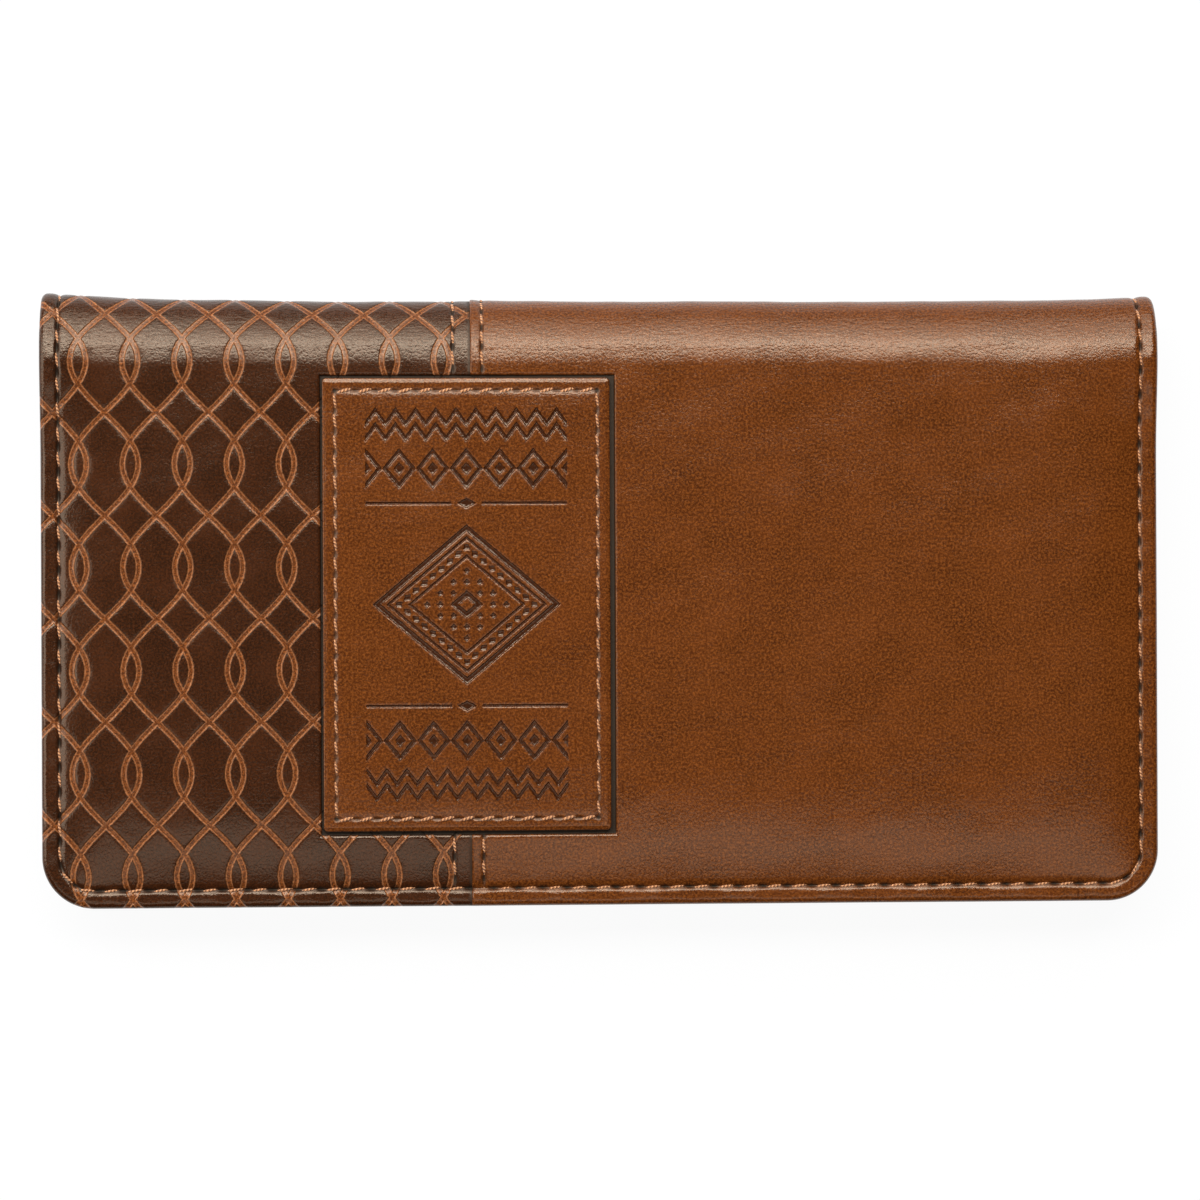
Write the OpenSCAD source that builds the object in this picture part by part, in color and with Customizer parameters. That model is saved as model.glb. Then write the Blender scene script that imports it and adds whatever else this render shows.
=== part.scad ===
// Checkbook cover, closed and lying on its back leaf.
// +X runs along the fold, +Y points to the spine roll, +Z out of the front leaf.
// The origin is the bottom centre of the closed cover.

/* [Cover] */
// Width of the cover, along the fold
cover_w = 162; // [150:1:180]
// Depth of a leaf, from its fore edge to where the spine roll starts
leaf_depth = 80.8; // [79:0.1:95]
// Corner radius of the leaves at the fore edge
corner_r = 7.5; // [5.5:0.5:12]
// How far the two ends of the spine roll stand out past its middle
roll_flare = 1.2; // [0.2:0.1:1.6]
// Length of each flared end of the roll
flare_w = 20; // [12:1:30]

/* [Layers of a leaf] */
// Thickness of the outer skin
skin_t = 1; // [0.8:0.05:1.3]
// Thickness of the foam padding
padding_t = 1.2; // [0.8:0.1:2.4]
// Thickness of the stiffening board
board_t = 0.8; // [0.5:0.1:1.6]
// Thickness of the lining
lining_t = 0.5; // [0.3:0.05:0.8]

/* [Sewn edge] */
// Width of the hem that turns over the lining's edge
hem_w = 1.2; // [1:0.1:1.4]
// Distance of the edge stitching from the rim
stitch_in = 2.6; // [2.4:0.1:3.4]
// Loft of the edge over the floor of its stitched groove
edge_loft = 0.4; // [0.3:0.05:0.6]
// Width of the band in which the padded crown rises from the edge
crown_w = 22; // [14:1:28]

/* [Seam and thread] */
// Place of the seam between the patterned and the plain skin
seam_x = -19.1; // [-38:0.1:0]
// Distance of the top-stitch row on the patterned side from the seam
seam_row_patterned = 2.5; // [1.4:0.1:3.5]
// Distance of the top-stitch row on the plain side from the seam
seam_row_plain = 1.7; // [1.4:0.1:3.5]
// Width of a thread
thread_w = 0.6; // [0.4:0.05:0.8]
// Height of a thread over what it lies on
thread_h = 0.3; // [0.15:0.05:0.35]
// Stitch pitch along the edge
edge_pitch = 3.55; // [2.8:0.05:4.5]
// Stitch pitch along the seam
seam_pitch = 3.2; // [2.8:0.05:4]
// Gap between one stitch and the next
stitch_gap = 1.3; // [0.9:0.1:1.6]

/* [Patch] */
// Width of the patch
patch_w = 41.4; // [30:0.1:44]
// Height of the patch
patch_h = 65.3; // [40:0.1:66]
// Middle of the patch along the fold
patch_x = -19.7; // [-30:0.1:20]
// Distance of the patch from the fore edge
patch_fore = 11; // [9:0.1:12]
// Thickness of the patch
patch_t = 1; // [0.7:0.05:1.4]
// Depth of the pressed recess that the patch lies in
recess_d = 0.5; // [0.2:0.05:0.6]
// Distance of the patch stitching from the patch's edge
patch_stitch_in = 1.8; // [1.2:0.1:3]
// Stitch pitch round the patch
patch_pitch = 2.9; // [2.5:0.05:4]

/* [Pockets] */
// Thickness of a pocket's sheet and walls
pocket_t = 0.5; // [0.35:0.05:0.8]
// Clear height of the pocket for the check pad
check_gap = 4.15; // [4.1:0.05:6]
// Clear height of the pocket for the register
register_gap = 1.2; // [0.8:0.1:2.5]
// Depth of the pockets, from the fore edge to the mouth
pocket_depth = 66.5; // [50:0.5:67]
// Distance of a pocket's flange from the rim
pocket_flange_in = 1.6; // [1.5:0.1:2.2]
// Distance of a pocket's wall from the rim
pocket_wall_in = 4.4; // [4:0.1:6]
// Distance of the hem stitching from a pocket's mouth
pocket_hem = 2.5; // [1.5:0.1:4]

/* [Clear divider] */
// Thickness of the clear sheet
divider_t = 0.25; // [0.2:0.05:0.4]
// Distance of the sheet's side edges from the rim
divider_side = 9; // [7:0.5:20]
// Distance of the sheet's free edge from the fore edge
divider_fore = 5; // [3:0.5:12]
// Clear height on each side of the sheet when the cover is closed
layer_gap = 0.2; // [0.15:0.05:0.4]
// Width of the binding that holds the sheet
binding_w = 4.6; // [3.6:0.1:5]
// How far the binding runs past each side edge of the sheet
binding_over = 1; // [0:0.5:4]
// Thickness of the binding
binding_t = 0.8; // [0.6:0.05:1]
// Height of the sheet's bend line over the binding
divider_lift = 0.5; // [0.35:0.05:0.7]

/* [Pen loop] */
// Radius of the pen loop's bore
pen_r = 3.1; // [2.6:0.05:3.3]
// Thickness of the elastic band
loop_t = 0.5; // [0.4:0.05:0.6]
// Width of the elastic band, along the fold
loop_w = 15; // [8:0.5:20]
// Distance of the band from the right rim
loop_in = 6; // [5:0.5:30]
// Clear gap between the loop and the inside of the roll
loop_gap = 0.4; // [0.3:0.05:0.6]
// Gap between the band's sewn tab and the binding, and between the binding and the pocket's mouth
tab_gap = 0.9; // [0.5:0.1:1.5]
// Length of a bar tack's stitch on the tab
tack_l = 1.4; // [1:0.1:1.6]
// Pitch of the bar tack's stitches
tack_pitch = 2; // [1.2:0.1:3]

/* [Hidden] */
$fn = 48;

dark_brown = "#43210b";
cognac = "#7a3f16";
thread_brown = "#a8713f";
fabric_brown = "#4a3222";
board_grey = "#a59a86";
foam_white = "#e6e0d2";
elastic_black = "#2b2420";
clear = [0.86, 0.9, 0.92, 0.5];

// Clearance between layers that lie on each other, and past the ends of a cut
fit = 0.05;
past = 1;
// Gap between neighbouring strips of the spine, at its outer face
strip_gap = 0.2;
// Angle of the roll that each of the three strips takes
strip_angle = 60;
// Radius of the rim's rounding above and below
rim_r = 0.9;
hem_r = 0.4;
// Half width of the grooves that the stitches lie in
groove_half = 0.5;
// How far a groove's outer wall leans, and the slope from its floor to the crown
groove_lean = 0.1;
crown_lean = 0.2;
// Length over which the edge climbs to the roll's face, and the lining to the roll's inside
edge_climb = 16;
lining_climb = 3;
// Powers of the crown's and the flare's curves, and of the spacing of the crown's rings
crown_power = 3;
flare_power = 3;
ring_power = 1.6;
// How fast the crown's corners open out towards the middle of a leaf
corner_spread = 0.35;
corner_steps = 8;
crown_steps = 7;
flare_steps = 4;
// Inset between the board's edge and the inside of the crown
board_margin = 0.6;
// Width of the edge of the pressed recess round the patch
recess_margin = 0.6;
patch_corner = 0.6;
patch_bevel = 0.3;
// Places of the two edge stitches on a strip of the spine, as shares of its angle
strip_stitches = [0.25, 0.75];
// Distance of the bar tack from the end of the band's tab, and of the binding's stitching from its edge
tack_in = 0.5;
binding_stitch_in = 1;

leaf_t = skin_t + padding_t + board_t + lining_t;
spine_t = skin_t + lining_t;
inside_h = check_gap + pocket_t + 2 * layer_gap + divider_t + pocket_t + register_gap;
cover_t = 2 * leaf_t + inside_h;
roll_r = cover_t / 2;
cover_d = leaf_depth + roll_r + roll_flare;
half_w = cover_w / 2;
fore_y = -cover_d / 2;
spine_y = fore_y + leaf_depth;
leaf_end = spine_y - strip_gap / 2;
climb_y = leaf_end - edge_climb;
bend_y = leaf_end - lining_climb;
mouth_y = fore_y + pocket_depth;

// Heights in the front leaf. The back leaf is its mirror image.
hem_z = cover_t - leaf_t;
lining_z = hem_z + lining_t;
board_z = lining_z + board_t;
groove_z = lining_z + skin_t;
edge_z = groove_z + edge_loft;
seam_groove = thread_h + fit;

// Insets of the edge groove's outer and inner wall, and of the crown's foot
groove_in = stitch_in - groove_half;
plain_band = stitch_in + groove_half;
crown_in = plain_band + crown_lean;
patch_y = fore_y + patch_fore + patch_h / 2;

function mix(a, b, share) = a + (b - a) * share;
function clamp(v) = min(1, max(0, v));

// Share of the climb from the flat edge to the roll's face at a place y
function climb(y) = clamp((y - climb_y) / edge_climb);
// How far the lining has left its flat towards the roll at a place y
function lift(y) = (leaf_t - spine_t) * clamp((y - bend_y) / lining_climb);

// Height of the crown at an inset from the rim
function crown_z(inset) =
    cover_t - (cover_t - edge_z) * pow(1 - clamp((inset - crown_in) / (crown_w - crown_in)), crown_power);
function crown_inset(k) = crown_in + (crown_w - crown_in) * pow(k / crown_steps, ring_power);

// Corner radius of the outline at an inset from the rim
function ring_r(inset) = inset < plain_band
    ? corner_r - inset
    : corner_r - plain_band + corner_spread * (inset - plain_band);

// The outline at an inset, from the left end of the spine side, round the fore edge, to its right end
function ring(inset, rows) =
    let (r = ring_r(inset), x = half_w - inset, cx = x - r, cy = fore_y + inset + r)
    concat(
        [for (y = rows) [-x, y]],
        [for (k = [0 : corner_steps]) let (a = 180 + 90 * k / corner_steps)
            [-cx + r * cos(a), cy + r * sin(a)]],
        [for (k = [0 : corner_steps]) let (a = 270 + 90 * k / corner_steps)
            [cx + r * cos(a), cy + r * sin(a)]],
        [for (i = [len(rows) - 1 : -1 : 0]) [x, rows[i]]]
    );

// Floor of the edge's stitched groove at a place y
function groove_floor(y) = mix(groove_z, cover_t - seam_groove, climb(y));

// Outer and inner face of the skin across the sewn edge, as [inset, height] at a place y
function edge_outer(y) =
    let (top = mix(edge_z, cover_t, climb(y)), floor = groove_floor(y))
    concat(
        [for (a = [0, 30, 60, 90]) [rim_r * (1 - cos(a)), top - rim_r * (1 - sin(a))]],
        [[groove_in - groove_lean, top], [groove_in, floor], [plain_band, floor]]
    );
function edge_inner(y) =
    let (hem = hem_z + lift(y), lap = hem + lining_t)
    concat(
        [for (a = [0, 45, 90]) [hem_r * (1 - cos(a)), hem + hem_r * (1 - sin(a))]],
        [[hem_w, hem], [hem_w, lap], [groove_in, lap], [plain_band, lap]]
    );
edge_points = len(edge_outer(0));

function skin_outer(j, y) = j < edge_points
    ? edge_outer(y)[j]
    : let (inset = crown_inset(j - edge_points)) [inset, mix(crown_z(inset), cover_t, climb(y))];
function skin_inner(j, y) = j < edge_points
    ? edge_inner(y)[j]
    : let (outer = skin_outer(j, y)) [outer[0], max(outer[1] - skin_t, hem_z + lift(y) + lining_t)];

// A closed solid between an upper and a lower set of rings, each ring running round three sides of a leaf
module ring_solid(upper, lower) {
    n = len(upper) - 1;
    m = len(upper[0]);
    function up(j, i) = j * m + i;
    function lo(j, i) = (n + 1 + j) * m + i;
    top = 2 * (n + 1) * m;
    base = top + 1;
    middle = [0, (upper[n][0].y + min([for (p = upper[n]) p.y])) / 2];
    quads = concat(
        [for (j = [0 : n - 1], i = [0 : m - 2]) [up(j, i), up(j + 1, i), up(j + 1, i + 1), up(j, i + 1)]],
        [for (j = [0 : n - 1], i = [0 : m - 2]) [lo(j, i), lo(j, i + 1), lo(j + 1, i + 1), lo(j + 1, i)]],
        [for (i = [0 : m - 2]) [lo(0, i), up(0, i), up(0, i + 1), lo(0, i + 1)]],
        [for (j = [0 : n - 1]) [lo(j, 0), lo(j + 1, 0), up(j + 1, 0), up(j, 0)]],
        [for (j = [0 : n - 1]) [lo(j, m - 1), up(j, m - 1), up(j + 1, m - 1), lo(j + 1, m - 1)]],
        [[lo(n, m - 1), up(n, m - 1), up(n, 0), lo(n, 0)]]
    );
    polyhedron(
        points = concat(
            [for (r = upper) each r],
            [for (r = lower) each r],
            [[middle.x, middle.y, upper[n][0].z], [middle.x, middle.y, lower[n][0].z]]
        ),
        faces = concat(
            [for (q = quads) [q[0], q[1], q[2]]],
            [for (q = quads) [q[0], q[2], q[3]]],
            [for (i = [0 : m - 1]) [top, up(n, (i + 1) % m), up(n, i)]],
            [for (i = [0 : m - 1]) [base, lo(n, i), lo(n, (i + 1) % m)]]
        )
    );
}

// A closed solid between an upper and a lower grid of points, its rows running up the roll
module grid_solid(upper, lower) {
    rows = len(upper) - 1;
    cols = len(upper[0]) - 1;
    function up(i, j) = i * (cols + 1) + j;
    function lo(i, j) = (rows + 1 + i) * (cols + 1) + j;
    quads = concat(
        [for (i = [0 : rows - 1], j = [0 : cols - 1])
            [up(i, j), up(i, j + 1), up(i + 1, j + 1), up(i + 1, j)]],
        [for (i = [0 : rows - 1], j = [0 : cols - 1])
            [lo(i, j), lo(i + 1, j), lo(i + 1, j + 1), lo(i, j + 1)]],
        [for (i = [0 : rows - 1]) [lo(i, 0), up(i, 0), up(i + 1, 0), lo(i + 1, 0)]],
        [for (i = [0 : rows - 1]) [lo(i, cols), lo(i + 1, cols), up(i + 1, cols), up(i, cols)]],
        [for (j = [0 : cols - 1]) [up(0, j + 1), up(0, j), lo(0, j), lo(0, j + 1)]],
        [for (j = [0 : cols - 1]) [up(rows, j), up(rows, j + 1), lo(rows, j + 1), lo(rows, j)]]
    );
    polyhedron(
        points = concat([for (r = upper) each r], [for (r = lower) each r]),
        faces = concat([for (q = quads) [q[0], q[1], q[2]]], [for (q = quads) [q[0], q[2], q[3]]])
    );
}

// Flat outline of a leaf at an inset from its rim, as far as a place y
module leaf_outline(inset, end_y) {
    r = ring_r(inset);
    x = half_w - inset;
    y = fore_y + inset;
    translate([-x + r, y]) square([2 * (x - r), end_y - y]);
    translate([-x, y + r]) square([2 * x, end_y - y - r]);
    for (side = [-1, 1]) translate([side * (x - r), y + r]) circle(r);
}

module leaf_plate(inset, end_y, z, t) {
    translate([0, 0, z]) linear_extrude(t) leaf_outline(inset, end_y);
}

// What lies on the patterned side of the seam, or on the plain side
module patterned_side() {
    intersection() {
        children();
        translate([-cover_w, -cover_w, -cover_t]) cube([cover_w + seam_x, 2 * cover_w, 3 * cover_t]);
    }
}
module plain_side() {
    intersection() {
        children();
        translate([seam_x, -cover_w, -cover_t]) cube([cover_w - seam_x, 2 * cover_w, 3 * cover_t]);
    }
}

module to_back() {
    translate([0, 0, cover_t]) mirror([0, 0, 1]) children();
}

// Places a profile of [radius, x] points, turned about the roll's axis from one angle to another
module on_roll(from, to) {
    translate([0, spine_y, roll_r]) rotate([90, 0, 90]) rotate([0, 0, from])
        rotate_extrude(angle = to - from) children();
}

seam_rows = [seam_x - seam_row_patterned, seam_x + seam_row_plain];

// Outer skin of a leaf, with the grooves of its seam stitches
module leaf_skin() {
    rows = [leaf_end, bend_y, climb_y];
    rings = [0 : edge_points + crown_steps];
    crown = [for (k = [0 : crown_steps]) let (t = crown_inset(k)) [fore_y + t, crown_z(t) - seam_groove]];
    difference() {
        ring_solid(
            [for (j = rings) [for (p = ring(skin_outer(j, 0)[0], rows)) [p.x, p.y, skin_outer(j, p.y)[1]]]],
            [for (j = rings) [for (p = ring(skin_inner(j, 0)[0], rows)) [p.x, p.y, skin_inner(j, p.y)[1]]]]
        );
        for (x = seam_rows) translate([x - groove_half, 0, 0]) rotate([90, 0, 90])
            linear_extrude(2 * groove_half) polygon(concat(
                crown,
                [[leaf_end + past, cover_t - seam_groove], [leaf_end + past, cover_t + past]],
                [[fore_y + crown_in, cover_t + past]]
            ));
    }
}

// Inset of the board and the padding, just inside where the crown has risen by the padding's thickness
crown_share = 1 - pow(min(1, padding_t / (cover_t - edge_z)), 1 / crown_power);
board_inset = mix(crown_in, crown_w, crown_share) + board_margin;
board_end = bend_y - fit;

module leaf_padding() {
    steps = [for (k = [1 : crown_steps]) crown_inset(k)];
    insets = concat([board_inset], [for (t = steps) if (t > board_inset + fit) t]);
    rows = [board_end, climb_y];
    ring_solid(
        [for (t = insets) [for (p = ring(t, rows)) [p.x, p.y, crown_z(t) - skin_t - fit]]],
        [for (t = insets) [for (p = ring(t, rows)) [p.x, p.y, board_z]]]
    );
}

module leaf_board() {
    leaf_plate(board_inset, board_end, lining_z, board_t);
}

module leaf_lining() {
    rise = leaf_t - spine_t;
    intersection() {
        leaf_plate(hem_w + fit, leaf_end, hem_z - past, leaf_t + 2 * past);
        translate([-half_w, 0, 0]) rotate([90, 0, 90]) linear_extrude(cover_w) polygon([
            [fore_y, hem_z], [bend_y, hem_z], [leaf_end, hem_z + rise],
            [leaf_end, lining_z + rise], [bend_y, lining_z], [fore_y, lining_z]
        ]);
    }
}

// Cross-section of a thread, flat below
module thread_profile() {
    w = thread_w / 2;
    polygon([[-w, 0], [w, 0], [w / 2, thread_h], [-w / 2, thread_h]]);
}

// One stitch: a straight thread along X
module stitch(length) {
    rotate([90, 0, 90]) translate([0, 0, -length / 2]) linear_extrude(length) thread_profile();
}

module stitch_at(place, z, pitch, slope) {
    translate([place[0], place[1], z]) rotate([0, -slope, place[2]]) stitch(pitch - stitch_gap);
}

// Stitching line of a leaf's edge: its stretches, and [x, y, heading] at a length along it
line_r = corner_r - stitch_in;
line_side = leaf_end - fore_y - corner_r;
line_arc = PI / 2 * line_r;
line_base = 2 * (half_w - corner_r);
line_l = 2 * (line_side + line_arc) + line_base;
function edge_place(s) =
    s > line_l / 2 ? let (p = edge_place(line_l - s)) [-p[0], p[1], 180 - p[2]]
    : s < line_side ? [stitch_in - half_w, leaf_end - s, -90]
    : s < line_side + line_arc
        ? let (a = 180 + 90 * (s - line_side) / line_arc)
          [corner_r - half_w + line_r * cos(a), fore_y + corner_r + line_r * sin(a), a + 90]
    : [corner_r - half_w + s - line_side - line_arc, fore_y + stitch_in, 0];

module leaf_edge_thread() {
    count = round(line_l / edge_pitch);
    pitch = line_l / count;
    reach = (pitch - stitch_gap) / 2;
    for (k = [0 : count - 1]) {
        place = edge_place((k + 0.5) * pitch);
        start = groove_floor(place[1] - reach * sin(place[2]));
        end = groove_floor(place[1] + reach * sin(place[2]));
        stitch_at(place, (start + end) / 2 + fit / 2, pitch, atan((end - start) / (2 * reach)));
    }
}

// Seam stitches of a leaf, left out between the places clear_from and clear_to
module leaf_seam_thread(clear_from, clear_to) {
    first = fore_y + plain_band + seam_pitch / 2;
    count = floor((leaf_end - first) / seam_pitch - 0.5);
    reach = (seam_pitch - stitch_gap) / 2;
    for (x = seam_rows, k = [0 : count]) {
        y = first + k * seam_pitch;
        if (y + reach < clear_from || y - reach > clear_to) {
            inset = y - fore_y;
            slope = (crown_z(inset + reach) - crown_z(inset - reach)) / (2 * reach);
            stitch_at([x, y, 90], crown_z(inset) - seam_groove + fit / 2, seam_pitch, atan(slope));
        }
    }
}

// A pocket on the inside of the front leaf: flange, walls and sheet, with its mouth to the spine
module pocket(gap) {
    wall_in = pocket_wall_in + pocket_t;
    leaf_plate(pocket_wall_in, mouth_y, hem_z - gap - pocket_t, pocket_t);
    difference() {
        leaf_plate(pocket_wall_in, mouth_y, hem_z - gap - pocket_t, gap + pocket_t);
        leaf_plate(wall_in, mouth_y + past, hem_z - gap - pocket_t - past, gap + pocket_t + 2 * past);
    }
    difference() {
        leaf_plate(pocket_flange_in, mouth_y, hem_z - pocket_t, pocket_t);
        leaf_plate(wall_in, mouth_y + past, hem_z - pocket_t - past, pocket_t + 2 * past);
    }
}

// Stitches of a pocket's hem, on the face that the pocket turns to the inside
module pocket_thread(gap) {
    run = 2 * (half_w - pocket_wall_in) - corner_r;
    count = floor(run / edge_pitch);
    h = min(thread_h, layer_gap / 2);
    translate([0, mouth_y - pocket_hem - thread_w / 2, hem_z - gap - pocket_t - h])
        for (k = [0 : count - 1]) translate([(k - count / 2) * edge_pitch + stitch_gap / 2, 0, 0])
            cube([edge_pitch - stitch_gap, thread_w, h]);
}

// Cross-section of the skin over a plain strip of the spine, as [radius, x]
module strip_skin_profile() {
    outer = [for (j = [0 : 3]) skin_outer(j, leaf_end)];
    inner = [for (j = [0 : 4]) skin_inner(j, leaf_end)];
    function right(list) = [for (p = list) [p[1] - roll_r, half_w - p[0]]];
    function backwards(list) = [for (i = [len(list) - 1 : -1 : 0]) list[i]];
    function left(list) = backwards([for (p = list) [p[1] - roll_r, p[0] - half_w]]);
    difference() {
        polygon(concat(right(outer), left(outer), backwards(left(inner)), backwards(right(inner))));
        for (x = concat(seam_rows, [stitch_in - half_w, half_w - stitch_in]))
            translate([roll_r - seam_groove, x - groove_half]) square([past, 2 * groove_half]);
    }
}

// Half of the angle that the gap between two strips takes
gap_angle = asin(strip_gap / 2 / roll_r);
function strip_from(index) = -90 + index * strip_angle + gap_angle;
function strip_to(index) = -90 + (index + 1) * strip_angle - gap_angle;

module strip_skin(index) {
    on_roll(strip_from(index), strip_to(index)) strip_skin_profile();
}

module strip_lining(index) {
    x = half_w - hem_w - fit;
    on_roll(strip_from(index), strip_to(index))
        translate([roll_r - spine_t, -x]) square([lining_t, 2 * x]);
}

// A stitch that follows the roll's curve, in a groove at a place x
module roll_stitch(x, angle) {
    reach = (edge_pitch - stitch_gap) / 2 / roll_r * 180 / PI;
    on_roll(angle - reach, angle + reach) translate([roll_r - seam_groove, x])
        rotate([0, 0, -90]) thread_profile();
}

module strip_thread(index) {
    for (x = concat(seam_rows, [stitch_in - half_w, half_w - stitch_in]), share = strip_stitches)
        roll_stitch(x, -90 + (index + share) * strip_angle);
}

// The flare of the middle strip at an inset from its end and an angle about the roll
function flare(inset, angle) =
    roll_flare * cos(180 * angle / strip_angle)
    * pow(1 - clamp((inset - hem_w) / (flare_w - hem_w)), flare_power);

// Skin of the flared middle strip, from one end of the roll to the seam.
// The side is -1 on the left and 1 on the right.
module flared_skin(side) {
    outer = concat(
        [for (j = [0 : edge_points]) skin_outer(j, leaf_end)],
        [for (k = [1 : flare_steps]) [mix(crown_in, flare_w, k / flare_steps), cover_t]],
        [[half_w + side * -seam_x, cover_t]]
    );
    inner = concat(
        [for (j = [0 : edge_points]) skin_inner(j, leaf_end)],
        [for (k = [edge_points + 1 : len(outer) - 1]) [outer[k][0], cover_t - skin_t]]
    );
    span = strip_angle / 2 - gap_angle;
    angles = [for (k = [-flare_steps : flare_steps]) span * k / flare_steps];
    function place(p, a, more) =
        let (r = p[1] - roll_r + more)
        [side * (half_w - p[0]), spine_y + r * cos(a), roll_r + r * sin(a)];
    function swell(p, a) = flare(p[0], a * strip_angle / 2 / span);
    order = [for (k = [0 : len(outer) - 1]) side < 0 ? k : len(outer) - 1 - k];
    grid_solid(
        [for (a = angles) [for (k = order) place(outer[k], a, swell(outer[k], a))]],
        [for (a = angles) [for (k = order) place(inner[k], a, fit)]]
    );
}

// Stitches of the middle strip: curved ones on the seam, straight ones on the flared ends
module flared_thread() {
    for (x = seam_rows, share = strip_stitches) roll_stitch(x, (share - 0.5) * strip_angle);
    for (side = [-1, 1], share = strip_stitches) {
        angle = (share - 0.5) * strip_angle;
        r = roll_r + flare(stitch_in, angle) - seam_groove + fit;
        step = 1;
        rise = (flare(stitch_in, angle + step) - flare(stitch_in, angle - step)) / (2 * step * PI / 180 * r);
        translate([side * (half_w - stitch_in), spine_y, roll_r]) rotate([angle, 0, 0]) translate([0, r, 0])
            rotate([-atan(rise), 0, 0]) rotate([0, 90, 90]) stitch(edge_pitch - stitch_gap);
    }
}

module seam_grooves_of_strip() {
    difference() {
        children();
        for (x = seam_rows) on_roll(-strip_angle, strip_angle)
            translate([roll_r - seam_groove, x - groove_half]) square([2 * past, 2 * groove_half]);
    }
}

// Rounded rectangle of the patch at an inset from its edge
module patch_outline(inset) {
    r = patch_corner;
    w = patch_w / 2 - inset - r;
    h = patch_h / 2 - inset - r;
    hull() for (x = [-w, w], y = [-h, h]) translate([x, y]) circle(r, $fn = 24);
}

patch_z = cover_t - recess_d;

module recess() {
    w = patch_w + 2 * recess_margin;
    h = patch_h + 2 * recess_margin;
    translate([patch_x - w / 2, patch_y - h / 2, patch_z]) cube([w, h, recess_d + past]);
}

// Divider: its width, the bend line it turns about, and the height of its lying sheet
divider_w = cover_w - 2 * divider_side;
binding_end = mouth_y + tab_gap + divider_lift + binding_w + binding_t;
binding_y = binding_end - binding_w;
back_face = leaf_t;
hinge_y = binding_y + binding_w / 2;
hinge_z = back_face + binding_t + divider_lift;
sheet_z = back_face + check_gap + pocket_t + layer_gap;

loop_r = pen_r + loop_t;
loop_y = spine_y + roll_r - spine_t - loop_gap - loop_r;
loop_x = half_w - loop_in - loop_w;
tab_y = binding_end + tab_gap;

module back_skin_patterned() { color(dark_brown) to_back() patterned_side() leaf_skin(); }
module back_skin_plain() { color(cognac) to_back() plain_side() leaf_skin(); }
module back_padding() { color(foam_white) to_back() leaf_padding(); }
module back_board() { color(board_grey) to_back() leaf_board(); }
module back_lining() { color(fabric_brown) to_back() leaf_lining(); }
module back_edge_thread() { color(thread_brown) to_back() leaf_edge_thread(); }
module back_seam_thread() { color(thread_brown) to_back() leaf_seam_thread(cover_d, cover_d); }
module check_pocket() { color(cognac) to_back() pocket(check_gap); }
module check_pocket_thread() { color(thread_brown) to_back() pocket_thread(check_gap); }

module pen_loop() {
    color(elastic_black) difference() {
        union() {
            translate([loop_x, loop_y, roll_r]) rotate([0, 90, 0]) cylinder(r = loop_r, h = loop_w);
            translate([loop_x, tab_y, back_face]) cube([loop_w, loop_y - loop_r / 2 - tab_y, 2 * loop_t]);
        }
        translate([loop_x - past, loop_y, roll_r]) rotate([0, 90, 0])
            cylinder(r = pen_r, h = loop_w + 2 * past);
    }
}

module pen_loop_thread() {
    count = floor(loop_w / tack_pitch);
    tack_y = tab_y + tack_in + tack_l / 2;
    color(thread_brown) translate([loop_x + loop_w / 2, tack_y, back_face + 2 * loop_t])
        for (k = [0 : count - 1]) translate([(k - (count - 1) / 2) * tack_pitch, 0, 0])
            rotate([0, 0, 90]) stitch(tack_l);
}

module divider_binding() {
    x = divider_w / 2 + binding_over;
    color(dark_brown) translate([-x, binding_y, back_face]) cube([2 * x, binding_w, binding_t]);
}

module divider_binding_thread() {
    count = floor(divider_w / edge_pitch);
    h = min(thread_h, divider_lift / 2);
    color(thread_brown) translate([0, binding_end - binding_stitch_in - thread_w / 2, back_face + binding_t])
        for (k = [0 : count - 1]) translate([(k - count / 2) * edge_pitch + stitch_gap / 2, 0, 0])
            cube([edge_pitch - stitch_gap, thread_w, h]);
}

// The clear sheet rises from its bend line to the pocket's mouth and lies over the pocket
module clear_divider() {
    bend = mouth_y + divider_lift;
    rise = atan((sheet_z - hinge_z) / (hinge_y - bend));
    free = fore_y + divider_fore;
    color(clear) translate([-divider_w / 2, 0, 0]) rotate([90, 0, 90]) linear_extrude(divider_w)
        polygon([
            [hinge_y, hinge_z], [bend, sheet_z], [free, sheet_z], [free, sheet_z + divider_t],
            [bend + divider_t * tan(rise / 2), sheet_z + divider_t],
            [hinge_y + divider_t * sin(rise), hinge_z + divider_t * cos(rise)]
        ]);
}

module spine_lower_skin_patterned() { color(dark_brown) patterned_side() strip_skin(0); }
module spine_lower_skin_plain() { color(cognac) plain_side() strip_skin(0); }
module spine_lower_lining() { color(fabric_brown) strip_lining(0); }
module spine_lower_thread() { color(thread_brown) strip_thread(0); }
module spine_middle_skin_patterned() { color(dark_brown) seam_grooves_of_strip() flared_skin(-1); }
module spine_middle_skin_plain() { color(cognac) seam_grooves_of_strip() flared_skin(1); }
module spine_middle_lining() { color(fabric_brown) strip_lining(1); }
module spine_middle_thread() { color(thread_brown) flared_thread(); }
module spine_upper_skin_patterned() { color(dark_brown) patterned_side() strip_skin(2); }
module spine_upper_skin_plain() { color(cognac) plain_side() strip_skin(2); }
module spine_upper_lining() { color(fabric_brown) strip_lining(2); }
module spine_upper_thread() { color(thread_brown) strip_thread(2); }

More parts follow.
